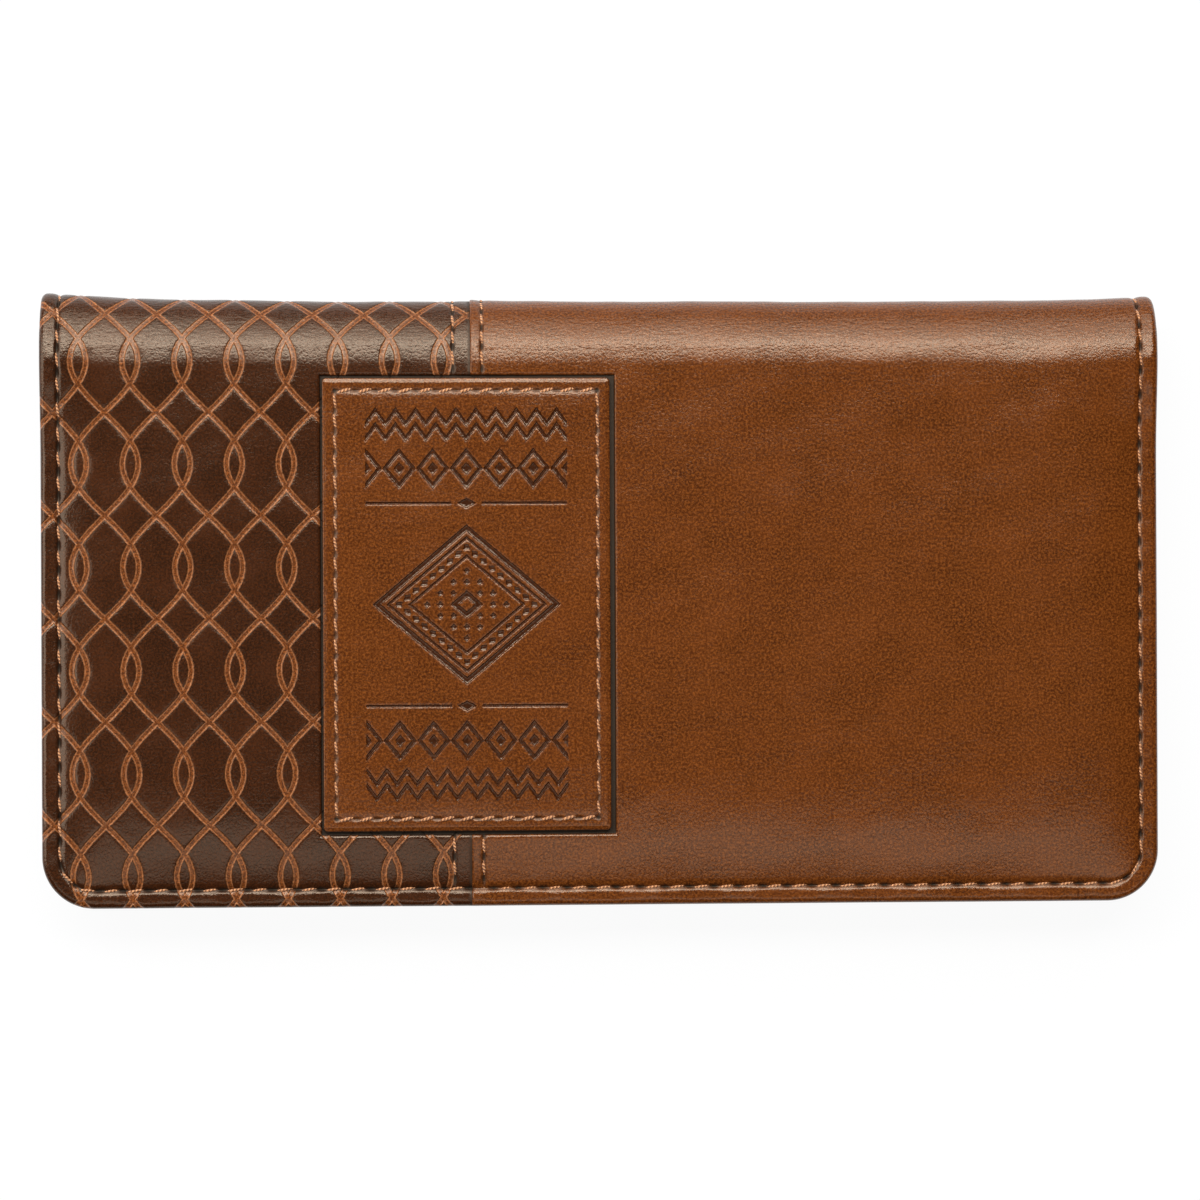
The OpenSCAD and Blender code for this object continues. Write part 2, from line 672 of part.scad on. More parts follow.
module front_skin_patterned() { color(dark_brown) difference() { patterned_side() leaf_skin(); recess(); } }
module front_skin_plain() { color(cognac) difference() { plain_side() leaf_skin(); recess(); } }
module front_padding() { color(foam_white) leaf_padding(); }
module front_board() { color(board_grey) leaf_board(); }
module front_lining() { color(fabric_brown) leaf_lining(); }
module front_edge_thread() { color(thread_brown) leaf_edge_thread(); }
module front_seam_thread() {
    reach = patch_h / 2 + recess_margin;
    color(thread_brown) leaf_seam_thread(patch_y - reach, patch_y + reach);
}
module register_pocket() { color(cognac) pocket(register_gap); }
module register_pocket_thread() { color(thread_brown) pocket_thread(register_gap); }

module patch() {
    color(cognac) translate([patch_x, patch_y, patch_z]) hull() {
        linear_extrude(patch_t - patch_bevel) patch_outline(0);
        linear_extrude(patch_t) patch_outline(patch_bevel);
    }
}

module patch_thread() {
    w = patch_w / 2 - patch_stitch_in;
    h = patch_h / 2 - patch_stitch_in;
    across = round(2 * w / patch_pitch);
    down = round(2 * h / patch_pitch);
    length = patch_pitch - stitch_gap;
    color(thread_brown) translate([patch_x, patch_y, patch_z + patch_t]) {
        for (k = [0 : across - 1], y = [-h, h])
            translate([mix(-w, w, (k + 0.5) / across), y, 0]) stitch(length);
        for (k = [0 : down - 1], x = [-w, w])
            translate([x, mix(-h, h, (k + 0.5) / down), 0]) rotate([0, 0, 90]) stitch(length);
    }
}

back_skin_patterned();
back_skin_plain();
back_padding();
back_board();
back_lining();
back_edge_thread();
back_seam_thread();
check_pocket();
check_pocket_thread();
pen_loop();
pen_loop_thread();
divider_binding();
divider_binding_thread();
clear_divider();
spine_lower_skin_patterned();
spine_lower_skin_plain();
spine_lower_lining();
spine_lower_thread();
spine_middle_skin_patterned();
spine_middle_skin_plain();
spine_middle_lining();
spine_middle_thread();
spine_upper_skin_patterned();
spine_upper_skin_plain();
spine_upper_lining();
spine_upper_thread();
front_skin_patterned();
front_skin_plain();
front_padding();
front_board();
front_lining();
front_edge_thread();
front_seam_thread();
register_pocket();
register_pocket_thread();
patch();
patch_thread();
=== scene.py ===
# %% [markdown]
# # A padded checkbook cover
# The cover is two padded leaves joined by a soft rolled spine. Dark brown faux leather with a
# pressed trellis covers the left part, cognac faux leather the right part, and a cognac patch is
# sewn into a pressed recess on the front. The CAD model gives the places and sizes. This lesson
# dresses it: soft skins, real stitches, linings, pockets, a clear divider and a pen loop.

# %% The frame and the tools
import math

import bmesh
import bpy
import numpy as np
from mathutils import Matrix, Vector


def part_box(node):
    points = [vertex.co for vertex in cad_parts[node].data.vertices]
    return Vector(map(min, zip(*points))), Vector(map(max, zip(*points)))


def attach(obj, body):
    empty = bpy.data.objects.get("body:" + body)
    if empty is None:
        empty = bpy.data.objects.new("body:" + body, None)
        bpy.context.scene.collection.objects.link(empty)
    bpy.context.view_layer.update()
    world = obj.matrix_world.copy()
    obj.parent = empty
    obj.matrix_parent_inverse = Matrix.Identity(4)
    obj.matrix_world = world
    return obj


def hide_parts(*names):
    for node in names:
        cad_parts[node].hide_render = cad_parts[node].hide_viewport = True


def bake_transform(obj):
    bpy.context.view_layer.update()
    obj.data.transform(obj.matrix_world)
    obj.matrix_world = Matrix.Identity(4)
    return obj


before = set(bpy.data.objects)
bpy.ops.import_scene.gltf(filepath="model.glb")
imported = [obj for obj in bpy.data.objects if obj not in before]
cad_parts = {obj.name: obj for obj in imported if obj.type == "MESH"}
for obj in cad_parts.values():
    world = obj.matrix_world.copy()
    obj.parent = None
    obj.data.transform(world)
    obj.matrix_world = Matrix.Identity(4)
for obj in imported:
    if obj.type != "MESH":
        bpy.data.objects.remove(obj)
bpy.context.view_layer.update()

print("CAD nodes:", len(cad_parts))

# %% [markdown]
# ## Sizes
# All shapes below are thought out in millimetres, because leather work is, and become metres at
# the very end. The main sizes are read from the CAD nodes, so that nothing has to be fitted.
# A skin is one sheet that runs over the front leaf, the roll and the back leaf. A point of it
# is named by x, along the fold, and by v, the distance walked along the sheet: v is the same
# as y on the front leaf, goes on over the roll, and then down the back leaf.

# %% Sizes read from the CAD nodes
MM = 0.001
roll_flare = 1.2
corner_r = 7.5


def box_mm(node):
    """The low and the high corner of a CAD node's box, in millimetres."""
    return [np.array(corner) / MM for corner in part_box(node)]


(seam_x, fore_y, _), (half_x, _, cover_t) = box_mm("front_skin_plain")
roll_r = cover_t / 2
spine_y = box_mm("spine_middle_skin_plain")[1][1] - roll_flare - roll_r
hem_h = roll_r - box_mm("check_pocket")[0][2]
arc = roll_r * math.pi / 2
leaf = spine_y - fore_y
v_mid = spine_y + arc
v_end = v_mid + arc + leaf
print(f"leaf {leaf:.1f} mm, roll radius {roll_r:.1f} mm, sheet {v_end - fore_y:.1f} mm long")

# %% [markdown]
# ## Camera
# The photograph looks straight down on the closed cover with the spine at the top. The left
# side is a little taller than the right one, so the camera stands a few degrees to the left.

# %% Camera
scene = bpy.context.scene
scene.view_settings.view_transform = "Standard"
camera_distance = 0.55
frame_width = 0.1739
camera_yaw = math.radians(2.6)
camera_roll = math.radians(-0.26)
aim_x, aim_y, aim_z = -0.0004, -0.0003, 0.012
camera_data = bpy.data.cameras.new("camera")
camera_data.lens = 36 * camera_distance / frame_width
camera_data.clip_start = 0.01
camera = bpy.data.objects.new("camera", camera_data)
scene.collection.objects.link(camera)
scene.camera = camera
sine, cosine = math.sin(camera_yaw), math.cos(camera_yaw)
camera.matrix_world = Matrix((
    (cosine, 0, -sine, aim_x - sine * camera_distance),
    (0, 1, 0, aim_y),
    (sine, 0, cosine, aim_z + cosine * camera_distance),
    (0, 0, 0, 1),
)) @ Matrix.Rotation(camera_roll, 4, "Z")
print(f"lens {camera_data.lens:.0f} mm at {camera_distance} m")

# %% [markdown]
# ## Shader arithmetic
# A procedural finish is mostly arithmetic on coordinates. Node by node that is hard to read, so
# one small class wraps a socket and gives it Python's operators. A second class gives the same
# methods to an array, so that one formula can colour a surface and also press it into shape.

# %% Values of a surface
def smooth_rise(value):
    """0 below 0, 1 above 1, a smooth rise between."""
    value = np.clip(value, 0, 1)
    return value * value * (3 - 2 * value)


class Value:
    """A number that varies over a surface."""

    def __init__(self, finish, socket):
        self.finish, self.socket = finish, socket

    def math(self, operation, *others, first=None):
        values = ([] if first is None else [first]) + [self] + list(others)
        made = self.finish.node("ShaderNodeMath", {"operation": operation}, dict(enumerate(values)))
        return Value(self.finish, made.outputs[0])

    def __add__(self, other): return self.math("ADD", other)
    def __radd__(self, other): return self.math("ADD", other)
    def __sub__(self, other): return self.math("SUBTRACT", other)
    def __rsub__(self, other): return self.math("SUBTRACT", first=other)
    def __mul__(self, other): return self.math("MULTIPLY", other)
    def __rmul__(self, other): return self.math("MULTIPLY", other)
    def __truediv__(self, other): return self.math("DIVIDE", other)
    def __rtruediv__(self, other): return self.math("DIVIDE", first=other)
    def __mod__(self, other): return self.math("FLOORED_MODULO", other)
    def __abs__(self): return self.math("ABSOLUTE")

    def sin(self): return self.math("SINE")
    def cos(self): return self.math("COSINE")
    def root(self): return self.math("SQRT")
    def least(self, other): return self.math("MINIMUM", other)
    def most(self, other): return self.math("MAXIMUM", other)

    def step(self, low, high):
        """0 below low, 1 above high, a smooth rise between."""
        made = self.finish.node(
            "ShaderNodeMapRange", {"interpolation_type": "SMOOTHSTEP"},
            {"Value": self, "From Min": low, "From Max": high})
        return Value(self.finish, made.outputs["Result"])


class Numbers(np.ndarray):
    """An array with the same methods, so that one formula serves a shader and a mesh."""

    def sin(self): return np.sin(self)
    def cos(self): return np.cos(self)
    def root(self): return np.sqrt(self)
    def least(self, other): return np.minimum(self, other)
    def most(self, other): return np.maximum(self, other)
    def step(self, low, high): return smooth_rise((self - low) / (high - low))


print("a smooth rise:", [round(float(smooth_rise(part)), 2) for part in (0, 0.25, 0.5, 1)])

# %% [markdown]
# ## Nodes
# `Nodes` adds any node to a tree from its type, settings and socket values. Calls of Blender's
# own `nodes.new` and `links.new` would do, but they take three or four lines for each node.

# %% Nodes
class Nodes:
    """A node tree, and how nodes are added to it."""

    def __init__(self, tree):
        self.tree = tree

    def node(self, kind, settings=None, sockets=None):
        made = self.tree.nodes.new(kind)
        for key, value in (settings or {}).items():
            setattr(made, key, value)
        for key, value in (sockets or {}).items():
            self.feed(made.inputs[key], value)
        return made

    def feed(self, target, value):
        if isinstance(value, Value):
            value = value.socket
        if isinstance(value, bpy.types.NodeSocket):
            self.tree.links.new(value, target)
        else:
            target.default_value = value

    def ray(self, *kinds):
        """1 for the light path's rays of these kinds."""
        outputs = self.node("ShaderNodeLightPath").outputs
        total, *others = [Value(self, outputs[f"Is {kind} Ray"]) for kind in kinds]
        for other in others:
            total = total.most(other)
        return total

    def blend(self, amount, first, second):
        """A shader between two others, shown on the tree's output."""
        sockets = {0: amount, 1: first.outputs[0], 2: second.outputs[0]}
        mixed = self.node("ShaderNodeMixShader", {}, sockets)
        output = next(node for node in self.tree.nodes if node.type.startswith("OUTPUT"))
        self.feed(output.inputs["Surface"], mixed.outputs[0])


# %% [markdown]
# `Finish` is the tree of one material. The few kinds of node that return in every finish, such
# as a noise or a mix of two colours, have a short name here. Colours are written as the eye sees
# them on the photograph, and `shade` turns them into the linear light that a shader wants.

# %% Finish and colour
class Finish(Nodes):
    """One material with a Principled shader."""

    def __init__(self, name, **constants):
        self.material = bpy.data.materials.new(name)
        self.material.use_nodes = True
        super().__init__(self.material.node_tree)
        self.shader = self.tree.nodes["Principled BSDF"]
        for socket, value in constants.items():
            self.shader.inputs[socket.replace("_", " ")].default_value = value

    def stored(self, name):
        """What the mesh stores for each point under this name."""
        return self.node("ShaderNodeAttribute", {"attribute_name": name}).outputs

    def vector_math(self, operation, sockets):
        return self.node("ShaderNodeVectorMath", {"operation": operation}, sockets).outputs[0]

    def object_mm(self):
        """Object coordinates in millimetres."""
        here = self.node("ShaderNodeTexCoord").outputs["Object"]
        return self.vector_math("SCALE", {0: here, "Scale": 1000.0})

    def parts(self, vector):
        split = self.node("ShaderNodeSeparateXYZ", sockets={0: vector})
        return [Value(self, socket) for socket in split.outputs]

    def stretch(self, vector, *factors):
        return self.vector_math("MULTIPLY", {0: vector, 1: factors})

    def noise(self, vector, scale, detail=2.0, rough=0.5):
        sockets = {"Vector": vector, "Scale": scale, "Detail": detail, "Roughness": rough}
        return Value(self, self.node("ShaderNodeTexNoise", {}, sockets).outputs["Fac"])

    def cells(self, vector, scale, feature="F1"):
        sockets = {"Vector": vector, "Scale": scale}
        made = self.node("ShaderNodeTexVoronoi", {"feature": feature}, sockets)
        return Value(self, made.outputs["Distance"])

    def mix(self, amount, first, second):
        """A colour between two others."""
        sockets = {0: amount, 6: first, 7: second}
        return self.node("ShaderNodeMix", {"data_type": "RGBA"}, sockets).outputs[2]

    def show(self, colour, rough, height=None):
        """Feeds the shader. The height is in millimetres."""
        if colour is not None:
            self.feed(self.shader.inputs["Base Color"], colour)
        self.feed(self.shader.inputs["Roughness"], rough)
        if height is not None:
            sockets = {"Strength": 1.0, "Distance": MM, "Height": height}
            bump = self.node("ShaderNodeBump", {}, sockets)
            self.feed(self.shader.inputs["Normal"], bump.outputs[0])
        return self.material


def shade(red, green, blue):
    """A colour given as the eye sees it, from 0 to 255, as the shader wants it."""
    def linear(c):
        c /= 255
        return c / 12.92 if c <= 0.04045 else ((c + 0.055) / 1.055) ** 2.4
    return (linear(red), linear(green), linear(blue), 1.0)


print("middle grey:", round(shade(128, 128, 128)[0], 3))

# %% [markdown]
# ## Light and floor
# Two soft boxes stand behind the spine, one high and one lower: they draw the long highlight on
# the roll and leave the flat leaf calm. A box at the left and a weak one in front lift the other
# edges. A picture of a studio could light it too, but boxes can be set one by one until each
# highlight lies where the photograph has it. The world gives little light, yet is white to the
# camera, and so is most of the pale floor, which still takes the shadow.

# %% Light and floor
box_distance = 0.9
white = (1, 1, 1, 1)


def built(builder, mesh):
    """Puts what the builder holds into the mesh."""
    builder.to_mesh(mesh)
    builder.free()
    return mesh


def soft_box(name, degrees, width, depth, power, side=0.0):
    """An area light at an angle from overhead towards the spine, facing the cover."""
    lamp = bpy.data.lights.new(name, "AREA")
    lamp.shape, lamp.size, lamp.size_y, lamp.energy = "RECTANGLE", width, depth, power
    lamp_object = bpy.data.objects.new(name, lamp)
    scene.collection.objects.link(lamp_object)
    aside = Matrix.Rotation(math.radians(side), 4, "Y")
    tilt = aside @ Matrix.Rotation(-math.radians(degrees), 4, "X")
    lamp_object.matrix_world = tilt @ Matrix.Translation((0, 0, box_distance))


soft_box("upper_box", 27, 1.1, 0.26, 9.0, -8)
soft_box("back_box", 52, 1.1, 0.5, 5.0)
soft_box("left_box", 8, 0.6, 0.6, 3.2, -58)
soft_box("front_box", -21, 1.0, 0.26, 1.0)

scene.world = bpy.data.worlds.new("studio")
scene.world.use_nodes = True
sky = Nodes(scene.world.node_tree)
dim, bright = (
    sky.node("ShaderNodeBackground", {}, {"Color": white, "Strength": strength})
    for strength in (0.05, 1.0))
sky.blend(sky.ray("Camera", "Transmission"), dim, bright)

builder = bmesh.new()
bmesh.ops.create_grid(builder, x_segments=1, y_segments=1, size=2.0)
floor = bpy.data.objects.new("floor", built(builder, bpy.data.meshes.new("floor")))
scene.collection.objects.link(floor)
paper = Finish("pale_floor", Base_Color=(0.9, 0.9, 0.9, 1), Roughness=0.9)
glow = paper.node("ShaderNodeEmission", {}, {"Color": white, "Strength": 1.0})
paper.blend(paper.ray("Camera", "Glossy", "Transmission") * 0.94, paper.shader, glow)
floor.data.materials.append(paper.material)
print("floor and lights made")

# %% [markdown]
# ## Finishes
# Plain faux leather: a fine grain of cells, soft clouds of lighter and darker brown, and faint
# creases. All of it is read from `flat_place`, the place on the flat sheet, so that the grain
# runs round the roll as it does on the real cover instead of being cut out of a solid block.
# A tint warms the gloss a little, or else the highlights would look grey.

# %% Cognac faux leather
warm_gloss = (1.0, 0.80, 0.60, 1.0)


def leather(name):
    """A faux leather, and what its colours need: place, height, pores, fine grain, painted shade.
    """
    finish = Finish(name, Specular_IOR_Level=0.6, Specular_Tint=warm_gloss)
    place = finish.stored("flat_place")["Vector"]
    pores = finish.cells(place, 1.7, "DISTANCE_TO_EDGE").step(0.0, 0.20)
    fine = finish.noise(place, 2.4, 3.0, 0.62)
    creases = finish.noise(finish.stretch(place, 0.25, 1.0, 1.0), 0.9, 4.0, 0.6)
    swell = finish.noise(place, 0.30, 3.0, 0.5)
    _, v, _ = finish.parts(place)
    on_roll = 1 - abs(v - v_mid).step(8.5, 13.0)
    crinkle = finish.noise(finish.stretch(place, 0.6, 1.5, 1.0), 1.5, 3.0, 0.6)
    grain_height = pores * 0.007 + fine * 0.010 + creases * 0.014
    height = grain_height + swell * 0.05 + crinkle * on_roll * 0.10
    # The stored mask is painted shade: needle holes, stitch troughs, the seam step and the recess.
    pressed = Value(finish, finish.stored("press")["Fac"])
    return finish, place, height, pores, fine, pressed


def cognac_colours(finish, place, pores, pressed):
    """Colour and roughness. Needle holes, stitch troughs and the recess get painted shade and more
    roughness.
    """
    clouds = finish.noise(place, 0.09, 4.0, 0.62)
    streaks = finish.noise(finish.stretch(place, 0.35, 1.0, 1.0), 0.42, 5.0, 0.65)
    mottling = (clouds * 0.6 + streaks * 0.4).step(0.26, 0.74)
    colour = finish.mix(mottling, shade(56, 23, 3), shade(89, 41, 7))
    grit = finish.noise(place, 2.8, 3.0, 0.8).step(0.41, 0.62)
    colour = finish.mix(grit * 0.75, colour, shade(134, 73, 25))
    colour = finish.mix((1 - pores) * 0.35, colour, shade(70, 29, 4))
    # Painted shade in the needle holes, the stitch troughs and the recess round the patch.
    colour = finish.mix(pressed, colour, shade(20, 9, 3))
    return colour, clouds * 0.09 + pressed * 0.5 + 0.15


def cognac_leather(name):
    finish, place, height, pores, _, pressed = leather(name)
    return finish.show(*cognac_colours(finish, place, pores, pressed), height)


cognac = cognac_leather("cognac_leather")
print("cognac leather:", len(cognac.node_tree.nodes), "nodes")

# %% [markdown]
# The patterned leather has a trellis pressed into it: pairs of wavy lines that swing about
# evenly spaced midlines and cross their neighbours. A texture file could hold it, but the lines
# have an exact formula, which says how far each point is from the nearest line. The shader uses
# it for the colour: inside a line the dark top colour gives way to a lighter brown, with pale
# rims of painted highlight. The skin's mesh uses it too, to lay the floor of the lines deeper.

# %% Patterned leather
column_pitch, column_start = 7.45, -71.675
row_pitch, row_start = 14.85, 4.7
line_swing = 4.86
line_half = 0.39


def trellis(x, v):
    """Distance from the nearest pressed line, in millimetres."""
    half = column_pitch / 2
    aside = abs((x - (column_start - half)) % column_pitch - half)
    turn = (v - row_start) * (math.pi / row_pitch)
    swing = abs(turn.cos()) * line_swing
    gap = abs(aside - swing).least(abs(aside - (column_pitch - swing)))
    slope = turn.sin() * (line_swing * math.pi / row_pitch)
    return gap / (slope * slope + 1).root()


def dark_leather(name, pattern):
    finish, place, height, pores, fine, pressed = leather(name)
    clouds = finish.noise(place, 0.12, 4.0, 0.6)
    colour = finish.mix(clouds.step(0.3, 0.7), shade(36, 15, 4), shade(54, 23, 5))
    grit = finish.noise(place, 3.1, 3.0, 0.75).step(0.40, 0.66)
    colour = finish.mix(grit * 0.5, colour, shade(88, 45, 18))
    rough = clouds * 0.09 + pressed * 0.5 + 0.15
    if pattern:
        ragged = (finish.noise(place, 2.2, 2.0, 0.6) - 0.5) * 0.20
        x, v, _ = finish.parts(place)
        gap = trellis(x, v) + ragged
        line = 1 - gap.step(line_half - 0.10, line_half + 0.10)
        inside = finish.mix(grit, shade(74, 32, 6), shade(146, 80, 34))
        colour = finish.mix(line * 0.95, colour, inside)
        # Pale rims along the edges of each line, broken by the grain: a painted highlight.
        painted_rim_highlight = 1 - abs(gap - line_half + 0.06).step(0.04, 0.15)
        colour = finish.mix(painted_rim_highlight * fine.step(0.2, 0.6) * 0.8, colour, shade(180, 116, 72))
        height, rough = height - line * 0.14, rough + line * 0.04
    colour = finish.mix((1 - pores) * 0.3, colour, shade(34, 15, 4))
    # Painted shade in needle holes, stitch troughs, beside the seam and in the recess.
    colour = finish.mix(pressed, colour, shade(16, 7, 3))
    return finish.show(colour, rough, height)


patterned = dark_leather("patterned_leather", True)
tape_leather = dark_leather("dark_leather", False)
print("patterned leather:", len(patterned.node_tree.nodes), "nodes")

# %% [markdown]
# The patch carries a heat-pressed ornament. Hot type leaves darker, glossier and deeper marks.
# Here the marks are plain traditional geometry: rows of zigzags and lozenges, two thin rules and
# a nest of lozenges in the middle. Each motif is a distance to a line, worked out with a fold.
# Like the trellis, the formula serves the colour and the shape of the mesh.

# %% Patch leather
zigzag_swing, zigzag_pitch = 1.0, 2.9
lozenge_pitch = 4.833
rule_y = 14.6
nest_w, nest_h = 13.6, 11.6
ornament_half = 14.5


def fold(value, pitch):
    """Distance to the nearest of the places that lie a pitch apart."""
    return abs((value + pitch / 2) % pitch - pitch / 2)


def mark(distance, half):
    """1 on a mark, this far to each side of its line."""
    return 1 - distance.step(half - 0.07, half + 0.09)


def only(value, half):
    return 1 - abs(value).step(half - 0.05, half + 0.05)


def ornament(x, y):
    """1 on the pressed marks. x and y are measured from the middle of the patch."""
    above = abs(y)
    marks = []
    for height in (27.0, 24.9):
        zigzag = fold(x, zigzag_pitch) * (4 * zigzag_swing / zigzag_pitch) - zigzag_swing
        line = mark(abs(above - height - zigzag) * 0.66, 0.24)
        marks.append(line * only(above - height, zigzag_swing + 0.6))
    lozenge = fold(x, lozenge_pitch) / 2.2 + abs(above - 19.6) / 2.7
    marks.append(mark(abs(lozenge - 0.92) * 1.7, 0.24))
    marks.append(mark(lozenge * 1.7, 0.55))
    marks.append(mark(abs(above - rule_y), 0.13) * (1 - only(x, 2.2)))
    marks.append(mark((abs(x) / 1.5 + abs(above - rule_y) / 0.8) * 0.7, 0.60))
    nest = abs(x) / nest_w + above / nest_h
    for size, half in ((0.95, 0.34), (0.83, 0.14), (0.60, 0.14), (0.13, 0.34)):
        marks.append(mark(abs(nest - size) * 8.8, half))
    beads = fold(abs(x) / nest_w - above / nest_h, 0.18) * 8.8
    marks.append(mark(beads + abs(nest - 0.715) * 12.0, 0.60))
    dots = mark(fold(x, 1.9) + fold(y, 1.62), 0.42)
    marks.append(dots * (1 - nest.step(0.47, 0.48)) * nest.step(0.22, 0.23))
    all_marks = marks[0]
    for other in marks[1:]:
        all_marks = all_marks.most(other)
    return all_marks * only(x, ornament_half)


def patch_leather(name, middle_x, middle_y):
    finish, place, height, pores, _, pressed = leather(name)
    colour, rough = cognac_colours(finish, place, pores, pressed)
    x, y, _ = finish.parts(place)
    ragged = (finish.noise(place, 1.6, 2.0, 0.6) - 0.5) * 0.16
    marks = ornament(x - middle_x + ragged, y - middle_y + ragged)
    worn = finish.noise(place, 1.3, 3.0, 0.6).step(0.25, 0.55)
    colour = finish.mix(marks * (worn * 0.25 + 0.68), colour, shade(46, 19, 5))
    return finish.show(colour, rough - marks * 0.02, height - marks * 0.16)


# %% [markdown]
# The thread is two plies twisted together. A helix of fine geometry would need far too many
# faces for hundreds of stitches. Instead each stitch knows the place along and across itself,
# so slanting stripes of light and shade across it read as the twist.

# %% Thread
twist_length = 0.52


def thread_finish(name):
    finish = Finish(name, Specular_IOR_Level=0.35, Sheen_Weight=0.2)
    place = finish.stored("thread_place")["Vector"]
    along, across, number = finish.parts(place)
    twist = ((along + across * 0.9) * (2 * math.pi / twist_length) + number).sin()
    fibres = finish.noise(finish.stretch(place, 2.0, 9.0, 1.0), 3.0, 2.0)
    colour = finish.mix(twist.step(-0.9, 0.6), shade(122, 66, 32), shade(206, 144, 94))
    colour = finish.mix(fibres.step(0.4, 0.8) * 0.4, colour, shade(236, 186, 140))
    return finish.show(colour, 0.55, twist * 0.05 + fibres * 0.03)


thread = thread_finish("tan_thread")
print("finishes:", len(bpy.data.materials))

# %% [markdown]
# ## A grid that follows a rounded outline
# Blender's grid has straight rows and columns. The leaf has rounded corners, a rim that turns
# under, and stitching that runs round it, so its rows should run round it too. The grid's outer
# rows are used as rings: each ring has its inset from the outline, and in a corner its points
# are shared out along the ring's own arc. Moving the points of one grid is enough for this,
# and the mesh stays all quads. A ring is (inset, share of the top height, offset in height).

# %% Rows and columns
no_edge = 99.0


def spaced(start, end, step, fine=()):
    """Places from start to end a step apart, and closer together near (place, reach, step)."""
    places, here = [start], start
    while here < end - 1e-6:
        size = min([step] + [s for at, reach, s in fine if abs(here + s - at) < reach])
        here = min(here + size, end)
        places.append(here)
    if len(places) > 2 and places[-1] - places[-2] < 0.4 * step:
        places.pop(-2)
    return places


class Lines:
    """The rows or columns of a grid: rings at its low end, inner lines, rings at its high end."""

    def __init__(self, low, high, inner, rings, low_rings, high_rings):
        inside, last = len(inner), len(rings) - 1
        lows, highs = len(rings) * low_rings, len(rings) * high_rings
        self.side = np.array([-1] * lows + [0] * inside + [1] * highs)
        self.ring = np.array([*range(lows)] + [last] * inside + [*reversed(range(highs))])
        self.here = np.array([low] * lows + list(inner) + [high] * highs, float)
        self.drop = np.zeros(len(self.side))
        self.count = len(self.side)


def ringed(low, high, rings, step, low_rings=True, high_rings=True, fine=()):
    """Lines a step apart from low to high, with rings where the grid ends in an edge."""
    reach = rings[-1][0]
    inner = spaced(low + reach * low_rings, high - reach * high_rings, step, fine)
    inner = inner[low_rings:len(inner) - high_rings]
    return Lines(low, high, inner, rings, low_rings, high_rings)


def level_rings(insets, share=1, offset=0):
    return [(inset, share, offset) for inset in insets]


def quarter_round(inset, share, offset, radius):
    """Rings that turn from upright to level."""
    angles = [math.radians(18 * n) for n in range(6)]
    return [
        (inset + radius * (1 - math.cos(a)), share, offset - radius * (1 - math.sin(a)))
        for a in angles]


print("spaced:", spaced(0.0, 2.0, 0.5, [(1.5, 0.2, 0.1)]))

# %% [markdown]
# The plan of the grid is worked out for all points at once with NumPy. On the straight sides a
# point keeps its place and takes the inset of its ring. In a corner the lower ring number tells
# which ring the point belongs to, and the other number how far along that ring it lies. Writing
# the meshes by lists of corners and faces would do as well, but is longer and easy to get wrong.

# %% Plan of the grid
def points_of(mesh):
    at = np.zeros(len(mesh.vertices) * 3)
    mesh.vertices.foreach_get("co", at)
    return at.reshape(-1, 3)


class Grid:
    """A Blender grid, planned. Each point has its column i and row j, its place x and y, and its
    ring's inset, share of the top height and offset."""

    rim_drop = 1.9

    def __init__(self, name, columns, rows, rings, radius):
        builder = bmesh.new()
        bmesh.ops.create_grid(
            builder, x_segments=columns.count - 1, y_segments=rows.count - 1, size=1.0)
        self.mesh = built(builder, bpy.data.meshes.new(name))
        at = points_of(self.mesh)
        self.i = np.rint((at[:, 0] + 1) / 2 * (columns.count - 1)).astype(int)
        self.j = np.rint((at[:, 1] + 1) / 2 * (rows.count - 1)).astype(int)
        self.plan(columns, rows, rings, radius)

    def plan(self, columns, rows, rings, radius):
        side_x, side_y = columns.side[self.i], rows.side[self.j]
        ring_x, ring_y = columns.ring[self.i], rows.ring[self.j]
        inset, share, offset = np.array(rings, float).T
        profile = np.array([0.0] + [
            math.hypot(b[0] - a[0], self.rim_drop * (b[1] - a[1]) + b[2] - a[2])
            for a, b in zip(rings, rings[1:])])
        along = np.cumsum(np.maximum(profile, 0.05))
        corner = (side_x != 0) & (side_y != 0)
        edge = (side_x != 0) | (side_y != 0)
        ring = np.where(corner, np.minimum(ring_x, ring_y), np.where(side_x != 0, ring_x, ring_y))
        in_by = inset[ring]
        part = along[np.maximum(ring_x, ring_y)] - along[ring]
        part = part / np.maximum(along[-1] - along[ring], 1e-9)
        turn = np.maximum(radius - in_by, 0.0)
        bend = turn * math.pi / 4
        way = part * (bend + inset[-1] - np.maximum(radius, in_by))
        angle = np.clip(math.pi / 4 - way / np.maximum(turn, 1e-9), 0, math.pi / 4)
        on_bend = way < bend
        near = np.where(on_bend, radius - turn * np.cos(angle), in_by)
        away = np.where(
            on_bend, radius - turn * np.sin(angle), np.maximum(radius, in_by) + way - bend)
        first = ring_x <= ring_y
        from_x = np.where(corner, np.where(first, near, away), in_by)
        from_y = np.where(corner, np.where(first, away, near), in_by)
        self.x = columns.here[self.i] - side_x * from_x
        self.y = rows.here[self.j] - side_y * from_y
        self.inset = np.where(edge, in_by, no_edge)
        self.share = np.where(edge, share[ring], 1.0)
        self.offset = np.where(edge, offset[ring], 0.0)


# %% [markdown]
# Every piece ends in the same way: its points go to their places, the mesh gets its material and
# becomes an object. A shader can't know where a point lay on the flat sheet, so the mesh stores
# that for each point. A UV map could hold it too, but an attribute keeps all three numbers.

# %% Finished pieces
def set_points(mesh, places_mm):
    mesh.vertices.foreach_set("co", (np.stack(places_mm, 1) * MM).ravel())
    mesh.update()


